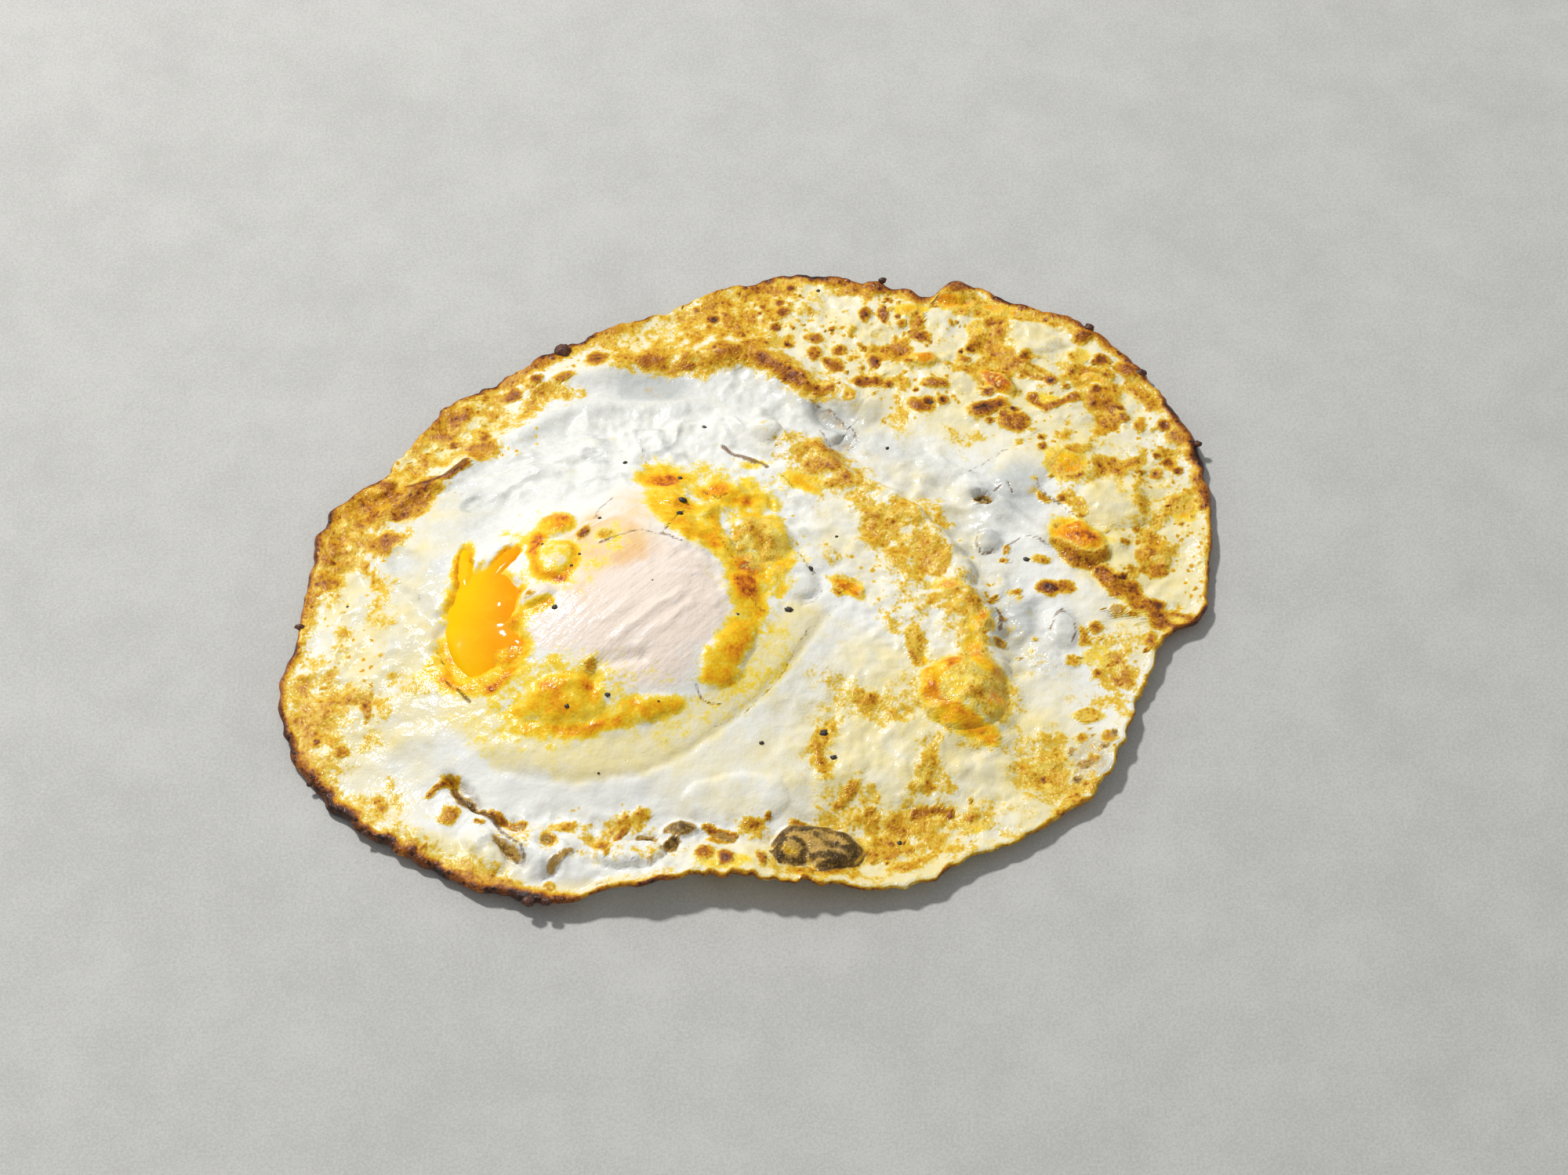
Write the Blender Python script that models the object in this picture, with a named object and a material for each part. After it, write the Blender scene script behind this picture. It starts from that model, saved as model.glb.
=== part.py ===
"""A fried egg that lies flat: the white, one thin uneven sheet with a crisp rim, and the yolk set in it.

Metres, +Z up. The origin is the middle of the egg's own box, on the surface that the egg lies on.
The sizes below are in millimetres, as a cook would measure them, and MM turns them into metres.
"""

import math

import bmesh
import bpy
import numpy as np
from mathutils import Vector, noise

MM = 0.001

# The yolk: a flattened dome.
YOLK_MIDDLE = (-17.6, -7.6)
YOLK_RADIUS = 21.6
YOLK_WAIST = 4.6
YOLK_TOP = 11.6
YOLK_FLOOR = 1.5
YOLK_FULLNESS = 2.1
YOLK_FOOT_LEVEL = 0.6
YOLK_WOBBLES = ((2, 0.012, 0.6), (3, 0.01, 0.0))
YOLK_SEGMENTS = 44
YOLK_RINGS = 20
GAP = 0.3

# The white: how thick it is at the rim, in the lace, in the thick body, and where it rises to the yolk.
RIM_THICKNESS = 1.0
LACE_THICKNESS = 2.1
BODY_THICKNESS = 4.3
SKIRT_RISE = 2.4
SKIRT_WIDTH = 5.0
GRID_CELLS = 48

# Places between the yolk's middle, 0, and the rim, 1: the underside's rings, where its flat part ends, where
# the lace starts to thin, and where its folds start to die away.
UNDER_RINGS = (0.975, 0.93, 0.87, 0.8)
FLAT_SHARE = 0.82
THINNING_SHARE = 0.82
CALM_SHARE = 0.9
CALM_STRENGTH = 0.75

# The rim, counter-clockwise from the right, as (x, y).
RIM = (
    (61.5, 10.0), (60.7, 2.0), (59.4, -7.4), (54.1, -11.3), (47.3, -28.0), (41.9, -37.2), (28.1, -45.0),
    (18.1, -49.4), (4.1, -48.9), (-5.9, -48.0), (-15.9, -50.0), (-26.9, -51.2), (-44.4, -43.6),
    (-54.5, -34.8), (-59.9, -27.0), (-61.5, -19.5), (-59.3, -10.0), (-57.5, 7.0), (-50.7, 14.8),
    (-42.4, 26.0), (-26.4, 37.4), (-3.9, 48.3), (8.1, 51.6), (20.1, 49.0), (25.1, 47.6), (29.1, 50.4),
    (35.1, 47.2), (45.6, 42.6), (54.1, 33.8), (59.9, 21.6),
)

# Where the thick body of the white ends, the same way round. It stops in a lip on the upper right.
BODY = (
    (33.0, -12.0), (34.0, -23.0), (30.0, -33.0), (14.0, -40.0), (-8.0, -40.0), (-28.0, -38.0),
    (-44.0, -31.0), (-50.0, -18.0), (-49.0, -3.0), (-41.0, 11.0), (-28.0, 19.0), (-8.0, 23.5),
    (4.0, 22.0), (15.0, 15.5), (24.0, 7.0), (30.0, -3.0),
)
LIP_MIDDLE_DEG = 42.0
LIP_FULL_DEG = 43.0
LIP_END_DEG = 81.0
SOFT_EDGE = 0.2
LIP_EDGE = 0.05
OUTER_SHARE = 0.4

# How far the underside of the rim stands off the surface, by the angle round the egg in degrees.
RIM_LIFT = (
    (0, 1.7), (30, 1.2), (60, 0.8), (90, 0.8), (130, 0.9), (165, 1.1), (190, 0.9),
    (215, 0.5), (240, 0.9), (255, 2.4), (272, 3.1), (290, 2.4), (315, 1.9), (340, 2.3),
)
LIFT_POWER = 1.4
LIFT_END = 1.08
RIPPLE = 0.3
RIPPLE_COUNT = 17
RIPPLE_DRIFT = 1.5
RIPPLE_DRIFT_COUNT = 3

# Folds of the sheet: a route, how high the fold stands, and how wide it is.
FOLDS = (
    (((-30.0, 31.0), (-13.0, 35.5), (0.0, 36.8), (8.0, 31.0), (16.0, 27.5)), 1.3, 2.6),
    (((-3.0, 22.5), (8.0, 19.0), (17.0, 12.5), (25.0, 4.0), (29.0, -4.0)), 1.2, 2.8),
    (((-48.0, 7.0), (-43.0, 13.0), (-38.0, 17.0)), 0.9, 2.2),
    (((-28.0, -44.0), (-18.0, -46.0), (-7.0, -45.0), (1.0, -46.5)), 1.5, 3.0),
    (((29.0, 16.0), (36.0, 9.0), (43.0, 4.0)), 0.9, 2.6),
)

# Blisters: middle, radius and height.
BLISTERS = (
    ((8.0, -43.2), 6.0, 1.9),
    ((28.0, -19.5), 5.5, 1.6),
    ((49.5, 12.0), 6.0, 0.8),
    ((44.0, 3.0), 4.0, 1.2),
    ((34.0, 15.5), 5.0, 1.0),
    ((29.5, 47.0), 3.0, 1.2),
)
BLISTER_TOP_SHARE = 0.2
UNEVEN = 0.55
UNEVEN_SIZE = 13.0
SHARP_EDGE_DEG = 50

WHITE_COLOUR = (0.84, 0.80, 0.64, 1.0)
YOLK_COLOUR = (0.95, 0.45, 0.02, 1.0)


def ease(low, high, value):
    """0 below low, 1 above high, and a smooth step between them."""
    share = min(1.0, max(0.0, (value - low) / (high - low)))
    return share * share * (3.0 - 2.0 * share)


def closed_curve(points, steps=12):
    """Points along the smooth closed curve through the given ones."""
    p = np.array(points)
    before, after, second = np.roll(p, 1, 0), np.roll(p, -1, 0), np.roll(p, -2, 0)
    made = []
    for t in np.arange(steps) / steps:
        made.append(
            0.5 * (2 * p + (after - before) * t + (2 * before - 5 * p + 4 * after - second) * t**2
                   + (3 * p - before - 3 * after + second) * t**3)
        )
    return np.stack(made, axis=1).reshape(-1, 2)


class Border:
    """A closed border seen from one point inside it, as a radius for each angle."""

    def __init__(self, points, middle):
        """Follows the smooth curve through the points."""
        way = closed_curve(points) - np.array(middle)
        angle = np.arctan2(way[:, 1], way[:, 0])
        order = np.argsort(angle)
        self.angle = angle[order]
        self.radius = np.hypot(way[order, 0], way[order, 1])

    def at(self, angle):
        """The radius at an angle."""
        return float(np.interp(angle, self.angle, self.radius, period=2 * math.pi))


def distance_to_route(x, y, route):
    """The distance from a point to a route of straight stretches."""
    here, best = Vector((x, y)), math.inf
    for start, end in zip(route, route[1:]):
        start, end = Vector(start), Vector(end)
        along = end - start
        share = min(1.0, max(0.0, (here - start).dot(along) / along.length_squared))
        best = min(best, (here - start - along * share).length)
    return best


def from_yolk(x, y):
    """How far a point lies outside the yolk's edge, and the angle that it lies at."""
    dx, dy = x - YOLK_MIDDLE[0], y - YOLK_MIDDLE[1]
    return math.hypot(dx, dy) - YOLK_RADIUS, math.atan2(dy, dx)


def under_height(x, y, share):
    """The underside: flat in the middle, and curled up towards the rim."""
    angle = math.degrees(math.atan2(y, x)) % 360
    degrees, lifts = zip(*RIM_LIFT)
    lift = float(np.interp(angle, degrees, lifts, period=360))
    turn = math.radians(angle)
    lift += RIPPLE * math.sin(turn * RIPPLE_COUNT + RIPPLE_DRIFT * math.sin(turn * RIPPLE_DRIFT_COUNT))
    curl = ease(FLAT_SHARE, LIFT_END, share) / ease(FLAT_SHARE, LIFT_END, 1.0)
    return lift * curl**LIFT_POWER


def white_thickness(x, y, share, body):
    """How thick the white is at a point, of which share is its place between the yolk and the rim."""
    outside, angle = from_yolk(x, y)
    thin = LACE_THICKNESS + (RIM_THICKNESS - LACE_THICKNESS) * ease(THINNING_SHARE, 1.0, share)
    off_lip = abs((math.degrees(angle) - LIP_MIDDLE_DEG + 180) % 360 - 180)
    edge = LIP_EDGE + (SOFT_EDGE - LIP_EDGE) * ease(LIP_FULL_DEG, LIP_END_DEG, off_lip)
    inside = 1.0 - ease(1.0 - edge, 1.0 + edge * OUTER_SHARE, (outside + YOLK_RADIUS) / body.at(angle))
    thick = thin + (BODY_THICKNESS - thin) * inside
    thick += SKIRT_RISE * math.exp(-((max(0.0, outside) / SKIRT_WIDTH) ** 2))
    rise = 0.0
    for route, height, width in FOLDS:
        rise += height * math.exp(-((distance_to_route(x, y, route) / width) ** 2))
    for middle, radius, height in BLISTERS:
        far = math.hypot(x - middle[0], y - middle[1]) / radius
        rise += height * (1.0 - ease(BLISTER_TOP_SHARE, 1.0, far))
    rise += UNEVEN * noise.noise(Vector((x, y, 0.0)) / UNEVEN_SIZE)
    return thick + rise * (1.0 - CALM_STRENGTH * ease(CALM_SHARE, 1.0, share))


def to_disc(u, v):
    """Where a point of the square from -1 to 1 lands on the round disc, as a radius and an angle."""
    if u == v == 0.0:
        return 0.0, 0.0
    if abs(u) > abs(v):
        radius, angle = u, math.pi / 4 * v / u
    else:
        radius, angle = v, math.pi / 2 - math.pi / 4 * u / v
    return (radius, angle) if radius > 0 else (-radius, angle + math.pi)


def white_mesh():
    """The sheet of white: a square grid drawn out to the rim, closed underneath by a flat face."""
    rim, body = Border(RIM, YOLK_MIDDLE), Border(BODY, YOLK_MIDDLE)
    bm = bmesh.new()
    bmesh.ops.create_grid(bm, x_segments=GRID_CELLS, y_segments=GRID_CELLS, size=1.0)
    for vert in bm.verts:
        share, angle = to_disc(vert.co.x, vert.co.y)
        x = YOLK_MIDDLE[0] + share * rim.at(angle) * math.cos(angle)
        y = YOLK_MIDDLE[1] + share * rim.at(angle) * math.sin(angle)
        vert.co = (x, y, under_height(x, y, share) + white_thickness(x, y, share, body))
    loop = [edge for edge in bm.edges if edge.is_boundary]
    for ring_share in (1.0, *UNDER_RINGS):
        made = bmesh.ops.extrude_edge_only(bm, edges=loop)["geom"]
        for vert in (item for item in made if isinstance(item, bmesh.types.BMVert)):
            _, angle = from_yolk(vert.co.x, vert.co.y)
            x = YOLK_MIDDLE[0] + ring_share * rim.at(angle) * math.cos(angle)
            y = YOLK_MIDDLE[1] + ring_share * rim.at(angle) * math.sin(angle)
            vert.co = (x, y, under_height(x, y, ring_share))
        loop = [item for item in made if isinstance(item, bmesh.types.BMEdge) and item.is_boundary]
    bmesh.ops.edgeloop_fill(bm, edges=loop)
    return finished(bm, "egg_white")


def yolk_mesh(name, grow=0.0):
    """The yolk, or with grow the hollow that holds it: a sphere pressed into a dome with a flat foot."""
    bm = bmesh.new()
    bmesh.ops.create_uvsphere(bm, u_segments=YOLK_SEGMENTS, v_segments=YOLK_RINGS, radius=1.0)
    power = 2.0 / YOLK_FULLNESS
    for vert in bm.verts:
        angle = math.atan2(vert.co.y, vert.co.x)
        level = vert.co.z
        out = math.sqrt(max(0.0, 1.0 - level * level))
        if level >= 0.0:
            out = out**power
            height = YOLK_WAIST + (YOLK_TOP + grow - YOLK_WAIST) * level**power
        else:
            height = YOLK_WAIST - (YOLK_WAIST - YOLK_FLOOR + grow) * min(1.0, -level / YOLK_FOOT_LEVEL)
        wobble = 1.0 + sum(size * math.sin(count * angle + start) for count, size, start in YOLK_WOBBLES)
        radius = out * (YOLK_RADIUS * wobble + grow)
        vert.co = (
            YOLK_MIDDLE[0] + radius * math.cos(angle),
            YOLK_MIDDLE[1] + radius * math.sin(angle),
            height,
        )
    return finished(bm, name)


def finished(bm, name):
    """The bmesh, drawn in millimetres, as a mesh in metres with its faces pointing out."""
    bmesh.ops.recalc_face_normals(bm, faces=bm.faces)
    bmesh.ops.scale(bm, vec=(MM, MM, MM), verts=bm.verts)
    mesh = bpy.data.meshes.new(name)
    bm.to_mesh(mesh)
    bm.free()
    return mesh


def material(name, colour, roughness):
    """A plain Principled material."""
    made = bpy.data.materials.new(name)
    made.use_nodes = True
    shader = made.node_tree.nodes["Principled BSDF"]
    shader.inputs["Base Color"].default_value = colour
    shader.inputs["Roughness"].default_value = roughness
    shader.inputs["Metallic"].default_value = 0.0
    return made


def add_object(mesh, collection, look=None):
    """A new object for the mesh, in that collection, shaded smooth over its soft forms."""
    made = bpy.data.objects.new(mesh.name, mesh)
    collection.objects.link(made)
    mesh.shade_smooth()
    mesh.set_sharp_from_angle(angle=math.radians(SHARP_EDGE_DEG))
    if look:
        mesh.materials.append(look)
    return made


def new_collection(name):
    """A new collection in the scene."""
    made = bpy.data.collections.new(name)
    bpy.context.scene.collection.children.link(made)
    return made


def centre(meshes):
    """Shifts the meshes together, so that the origin is the middle of their box."""
    points = np.array([vert.co for mesh in meshes for vert in mesh.vertices])
    middle = (points.min(axis=0) + points.max(axis=0)) / 2
    for mesh in meshes:
        for vert in mesh.vertices:
            vert.co.x -= middle[0]
            vert.co.y -= middle[1]


def main():
    """Builds the egg and the cutter for its yolk's hollow."""
    for old in list(bpy.data.objects):
        bpy.data.objects.remove(old)
    egg, cutters = new_collection("fried_egg"), new_collection("cutters")
    meshes = white_mesh(), yolk_mesh("yolk"), yolk_mesh("yolk_hollow", GAP)
    centre(meshes)
    white = add_object(meshes[0], egg, material("white", WHITE_COLOUR, 0.35))
    add_object(meshes[1], egg, material("yolk", YOLK_COLOUR, 0.25))
    hollow = add_object(meshes[2], cutters)
    hollow.hide_render = True
    hollow.display_type = "WIRE"
    cut = white.modifiers.new("yolk_hollow", "BOOLEAN")
    cut.operation = "DIFFERENCE"
    cut.object = hollow


main()
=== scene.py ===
"""The looks of a fried egg: browned white, the yolk under its cooked film, pepper and crumbs.

Lengths in this file are millimetres in the egg's own frame, x to the right, y away from the cook and z up,
and MM turns them into metres when a mesh is finished.
"""

import logging
import math
from dataclasses import dataclass
from enum import Enum

import bmesh
import bpy
import numpy as np
from mathutils import Matrix, Vector, noise


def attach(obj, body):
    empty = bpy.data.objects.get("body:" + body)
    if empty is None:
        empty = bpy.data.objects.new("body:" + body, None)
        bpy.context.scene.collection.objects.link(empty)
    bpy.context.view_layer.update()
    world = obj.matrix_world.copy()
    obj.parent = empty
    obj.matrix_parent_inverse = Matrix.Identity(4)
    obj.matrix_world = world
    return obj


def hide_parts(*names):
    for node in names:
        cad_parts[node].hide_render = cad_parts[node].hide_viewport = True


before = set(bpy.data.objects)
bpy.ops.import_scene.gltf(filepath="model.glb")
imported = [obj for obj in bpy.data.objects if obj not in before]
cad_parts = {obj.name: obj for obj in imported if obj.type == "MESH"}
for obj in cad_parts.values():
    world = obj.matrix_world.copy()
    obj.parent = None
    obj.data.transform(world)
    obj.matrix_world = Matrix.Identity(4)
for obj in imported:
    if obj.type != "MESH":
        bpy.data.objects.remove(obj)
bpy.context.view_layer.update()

MM = 0.001
LOG = logging.getLogger("fried_egg")

Array = np.ndarray
Point = tuple[float, float]
Colour = tuple[float, float, float]
Steps = tuple[tuple[float, Colour], ...]
Socket = bpy.types.NodeSocket


class Tint(Enum):
    """The paints that lie on the white, each a share from 0 to 1 at every point of its mesh."""

    CLEAR = "clear"
    CREAM = "cream"
    TOAST = "toast"
    OLIVE = "olive"
    BLUSH = "blush"
    SUN = "sun"
    CREASE = "crease"
    ROUGH = "rough"
    FLECK = "fleck"


# ---------------------------------------------------------------------------------------------------------
# Rules that shapes and paints share


def ease(low: float, high: float, value: Array) -> Array:
    """A smooth step between two values.

    Args:
        low: where the step starts.
        high: where it ends.
        value: the values to step over.

    Returns:
        0 below low, 1 above high, and a smooth rise between.
    """
    share = np.clip((value - low) / (high - low), 0.0, 1.0)
    return share * share * (3.0 - 2.0 * share)


def scatter(cell_x: Array, cell_y: Array, seed: int) -> Array:
    """A fixed number from -1 to 1 for each whole-numbered cell, which looks random.

    Args:
        cell_x: first numbers of the cells.
        cell_y: second numbers of the cells.
        seed: which set of numbers.

    Returns:
        The number for each cell.
    """
    mixed = cell_x.astype(np.int64) * 374761393 + cell_y.astype(np.int64) * 668265263 + seed * 1442695041
    mixed = (mixed ^ (mixed >> 13)) * 1274126177
    mixed = mixed ^ (mixed >> 16)
    return (mixed & 0xFFFFFF) / float(0x7FFFFF) - 1.0


def cloud(x: Array, y: Array, size: float, seed: int, octaves: int = 3) -> Array:
    """Smooth noise over the plane.

    Args:
        x: first coordinates.
        y: second coordinates.
        size: the width of its largest lumps.
        seed: which noise.
        octaves: how many finer layers it has, each half as wide and half as strong.

    Returns:
        Values around 0, mostly within 1 of it.
    """
    total = np.zeros_like(x, dtype=float)
    strength = 1.0
    for octave in range(octaves):
        u = x / size + 17.3 * octave
        v = y / size - 9.1 * octave
        cell_u, cell_v = np.floor(u), np.floor(v)
        part_u, part_v = u - cell_u, v - cell_v
        part_u = part_u**3 * (part_u * (part_u * 6 - 15) + 10)
        part_v = part_v**3 * (part_v * (part_v * 6 - 15) + 10)
        low = (1 - part_u) * scatter(cell_u, cell_v, seed) + part_u * scatter(cell_u + 1, cell_v, seed)
        cell_v = cell_v + 1
        high = (1 - part_u) * scatter(cell_u, cell_v, seed) + part_u * scatter(cell_u + 1, cell_v, seed)
        total += strength * ((1 - part_v) * low + part_v * high)
        strength *= 0.5
        size *= 0.5
    return total


def drifted(x: Array, y: Array, size: float, seed: int, far: float, octaves: int = 3) -> tuple[Array, Array]:
    """Points pushed about by noise, so that smooth marks get uneven edges.

    Args:
        x: first coordinates.
        y: second coordinates.
        size: the width of the noise's largest lumps.
        seed: which noise pushes x, and the next one pushes y.
        far: how far the points are pushed.
        octaves: how many layers the noise has.

    Returns:
        The new coordinates.
    """
    return x + far * cloud(x, y, size, seed, octaves), y + far * cloud(x, y, size, seed + 1, octaves)


def laciness(x: Array, y: Array) -> Array:
    """How thick the lace is at each point, where there is lace."""
    return ease(-0.1, 0.7, cloud(x, y, 4.8, 73, 4))


def ridges(x: Array, y: Array, sharpness: int) -> Array:
    """Winding ridges of crumpled white, 1 on their crests."""
    return (1.0 - np.abs(cloud(x, y, 6.5, 47, 3))) ** sharpness


def closed_curve(points: tuple[Point, ...], steps: int = 16) -> Array:
    """Points along the smooth closed curve through the given ones.

    Args:
        points: the points that it passes through, in order.
        steps: how many points it has for each of those.

    Returns:
        The points, one row each.
    """
    p = np.array(points)
    before, after, second = np.roll(p, 1, 0), np.roll(p, -1, 0), np.roll(p, -2, 0)
    made = []
    for t in np.arange(steps) / steps:
        made.append(
            0.5 * (2 * p + (after - before) * t + (2 * before - 5 * p + 4 * after - second) * t**2
                   + (3 * p - before - 3 * after + second) * t**3)
        )
    return np.stack(made, axis=1).reshape(-1, 2)


def to_disc(u: Array, v: Array) -> tuple[Array, Array]:
    """Where points of the square from -1 to 1 land on the round disc.

    Args:
        u: first coordinates on the square.
        v: second coordinates on the square.

    Returns:
        Their distances from the disc's middle, 0 to 1, and their angles.
    """
    wide = np.abs(u) > np.abs(v)
    main = np.where(wide, u, v)
    safe = np.where(main == 0, 1.0, main)
    other = np.where(wide, v, u) / safe * math.pi / 4
    angle = np.where(wide, other, math.pi / 2 - other) + np.where(main < 0, math.pi, 0.0)
    return np.abs(main), angle


@dataclass(frozen=True)
class Border:
    """A closed border seen from one point inside it."""

    points: tuple[Point, ...]
    middle: Point

    def radius(self, angle: Array) -> Array:
        """The border's distance from the middle at each angle."""
        dx, dy = (closed_curve(self.points) - np.array(self.middle)).T
        return np.interp(angle, np.arctan2(dy, dx), np.hypot(dx, dy), period=math.tau)

    def share(self, x: Array, y: Array) -> Array:
        """0 at the middle, 1 on the border, and more outside it."""
        dx, dy = x - self.middle[0], y - self.middle[1]
        return np.hypot(dx, dy) / self.radius(np.arctan2(dy, dx))


@dataclass(frozen=True)
class Patch:
    """An oval place on the egg: its middle, half length, half width, strength, and turn in degrees."""

    x: float
    y: float
    long: float
    wide: float
    strength: float
    turn: float = 0.0

    def reach(self, x: Array, y: Array) -> Array:
        """0 at the patch's middle and 1 on its edge.

        Args:
            x: first coordinates.
            y: second coordinates.

        Returns:
            The share of the way out from the middle to the edge.
        """
        turn = math.radians(self.turn)
        dx, dy = x - self.x, y - self.y
        along = dx * math.cos(turn) + dy * math.sin(turn)
        across = dy * math.cos(turn) - dx * math.sin(turn)
        return np.hypot(along / self.long, across / self.wide)

    def cover(self, x: Array, y: Array, soft: float = 0.35) -> Array:
        """The patch's strength inside, fading to 0 over the soft share of its size."""
        return self.strength * (1.0 - ease(1.0 - soft, 1.0 + soft, self.reach(x, y)))

    def dome(self, x: Array, y: Array) -> Array:
        """A round-topped rise, as high as the patch is strong."""
        return self.strength * np.sqrt(np.clip(1.0 - self.reach(x, y) ** 2, 0.0, 1.0))


@dataclass(frozen=True)
class Line:
    """A route over the egg: its half width, its strength, and its points."""

    wide: float
    strength: float
    route: tuple[Point, ...]

    def distance(self, x: Array, y: Array) -> Array:
        """The distance from each point to the route.

        Args:
            x: first coordinates.
            y: second coordinates.

        Returns:
            The distances in millimetres.
        """
        best = np.full_like(x, np.inf, dtype=float)
        for (ax, ay), (bx, by) in zip(self.route, self.route[1:]):
            dx, dy = bx - ax, by - ay
            along = np.clip(((x - ax) * dx + (y - ay) * dy) / (dx * dx + dy * dy), 0.0, 1.0)
            best = np.minimum(best, np.hypot(x - ax - along * dx, y - ay - along * dy))
        return best

    def cover(self, x: Array, y: Array, soft: float = 0.6) -> Array:
        """The line's strength along its middle, fading to 0 at its sides."""
        return self.strength * (1.0 - ease(1.0 - soft, 1.0 + soft, self.distance(x, y) / self.wide))

    def rise(self, x: Array, y: Array) -> Array:
        """A rounded ridge, or a groove if its strength is below 0."""
        return self.strength * np.exp(-((self.distance(x, y) / self.wide) ** 2))


Mark = Patch | Line


def patches(*rows: tuple[float, ...]) -> tuple[Patch, ...]:
    """A patch for each row: x, y, half length, half width, strength, and a turn if it has one."""
    return tuple(Patch(*row) for row in rows)


def lines(*rows: tuple[float | Point, ...]) -> tuple[Line, ...]:
    """A line for each row: half width, strength, and then the points of its route."""
    return tuple(Line(wide, strength, tuple(route)) for wide, strength, *route in rows)


def covered(marks: tuple[Mark, ...], x: Array, y: Array, soft: float = 0.35) -> Array:
    """The strongest of the marks at each point.

    Args:
        marks: the patches and lines.
        x: first coordinates.
        y: second coordinates.
        soft: the share of a mark over which its edge fades.

    Returns:
        The strength at each point.
    """
    total = np.zeros_like(x, dtype=float)
    for mark in marks:
        total = np.maximum(total, mark.cover(x, y, soft))
    return total


# ---------------------------------------------------------------------------------------------------------
# Where things lie on the egg

YOLK_MIDDLE: Point = (-17.6, -7.6)

# The raised band of white at the foot of the yolk, on the near side.
YOLK_BAND: tuple[Point, ...] = (
    (-37.5, -24.0), (-31.0, -30.0), (-22.0, -32.6), (-13.0, -31.0), (-6.0, -27.0), (-0.5, -21.8),
    (3.6, -16.4), (7.0, -11.0),
)

RIM = Border(
    (
        (61.5, 10.0), (60.7, 2.0), (59.4, -7.4), (54.1, -11.3), (47.3, -28.0), (41.9, -37.2), (28.1, -45.0),
        (18.1, -49.4), (4.1, -48.9), (-5.9, -48.0), (-15.9, -50.0), (-26.9, -51.2), (-44.4, -43.6),
        (-54.5, -34.8), (-59.9, -27.0), (-61.5, -19.5), (-59.3, -10.0), (-57.5, 7.0), (-50.7, 14.8),
        (-42.4, 26.0), (-26.4, 37.4), (-3.9, 48.3), (8.1, 51.6), (20.1, 49.0), (25.1, 47.6), (29.1, 50.4),
        (35.1, 47.2), (45.6, 42.6), (54.1, 33.8), (59.9, 21.6),
    ),
    (0.0, -1.0),
)

# Where the thick body of the white ends. On the upper right it stops in a lip.
BODY = Border(
    (
        (33.0, -12.0), (34.0, -23.0), (30.0, -33.0), (14.0, -40.0), (-8.0, -40.0), (-28.0, -38.0),
        (-44.0, -31.0), (-50.0, -18.0), (-49.0, -3.0), (-41.0, 11.0), (-28.0, 19.0), (-8.0, 23.5),
        (4.0, 22.0), (15.0, 15.5), (24.0, 7.0), (30.0, -3.0),
    ),
    YOLK_MIDDLE,
)

# How far the underside of the rim stands off the table, by the angle round the egg in degrees.
RIM_LIFT = (
    (0, 1.2), (30, 0.9), (60, 0.7), (90, 0.7), (130, 0.9), (165, 1.1), (190, 0.9),
    (215, 0.5), (240, 1.2), (252, 3.4), (272, 4.0), (288, 2.6), (305, 1.6), (340, 1.5),
)

# Ridges and grooves, with how high they stand.
FOLDS = lines(
    (2.4, 1.3, (-30, 31), (-13, 35.5), (0, 36.8), (8, 31), (16, 27.5)),
    (2.4, 1.1, (-2, 22.5), (8, 19), (17, 12.5), (25, 4), (29, -4)),
    (1.5, 1.2, (-49, 8), (-45.5, 12), (-41, 14.3), (-38.5, 17)),
    (3, 1.4, (-28, -44), (-18, -46), (-7, -45), (1, -46.5)),
    (1.4, 1.1, (29.5, 13), (33.5, 9.6), (38.5, 5)),
    (2.3, 0.2, *YOLK_BAND),
    (0.6, -0.22, (-31, -33.4), (-22, -35), (-15, -34.2), (-8, -30.8), (-3, -26.8), (2, -21.8), (5.4, -17),
     (8.6, -12.6), (10.5, -8.6)),
    (1.6, 0.9, (-34, 20), (-25, 26), (-12, 26.6), (1, 25.6)),
    (0.9, -0.5, (-50, -3), (-46, -4.5), (-43, -9), (-40.5, -12)),
    (0.9, -0.5, (-14, -19), (-19.5, -20), (-20.5, -25)),
    (0.7, -0.7, (-3.2, 23), (-1.6, 18.6), (1.2, 16.6), (3.4, 16.8)),
    (0.6, -0.25, (6.2, 0.6), (8.2, -2.8), (9.2, -5.6), (7, -8.4)),
    (2.6, 0.8, (-52, -38), (-44, -41), (-36, -44.4)),
    (0.55, 0.3, (-17.2, -17), (-13, -13.2), (-9.2, -9.6)),
    (0.5, 0.25, (-14.4, -17.6), (-10.8, -14.2), (-7.6, -11.2)),
    (0.5, 0.22, (-18.6, -14.6), (-15.2, -11.6)),
    (1, -0.5, (-33, 8), (-30, 11.6), (-25.6, 12.4), (-22, 9.6)),
    (1, -0.45, (-35, 15), (-29, 16.6), (-24, 14), (-20, 16)),
    (1, -0.45, (-27, 19.4), (-22, 20.6), (-17, 17.6), (-13, 19)),
    (1, -0.4, (-37, 4), (-33, 5.6), (-28, 7.6), (-22, 6.4), (-18.6, 9)),
)

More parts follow.
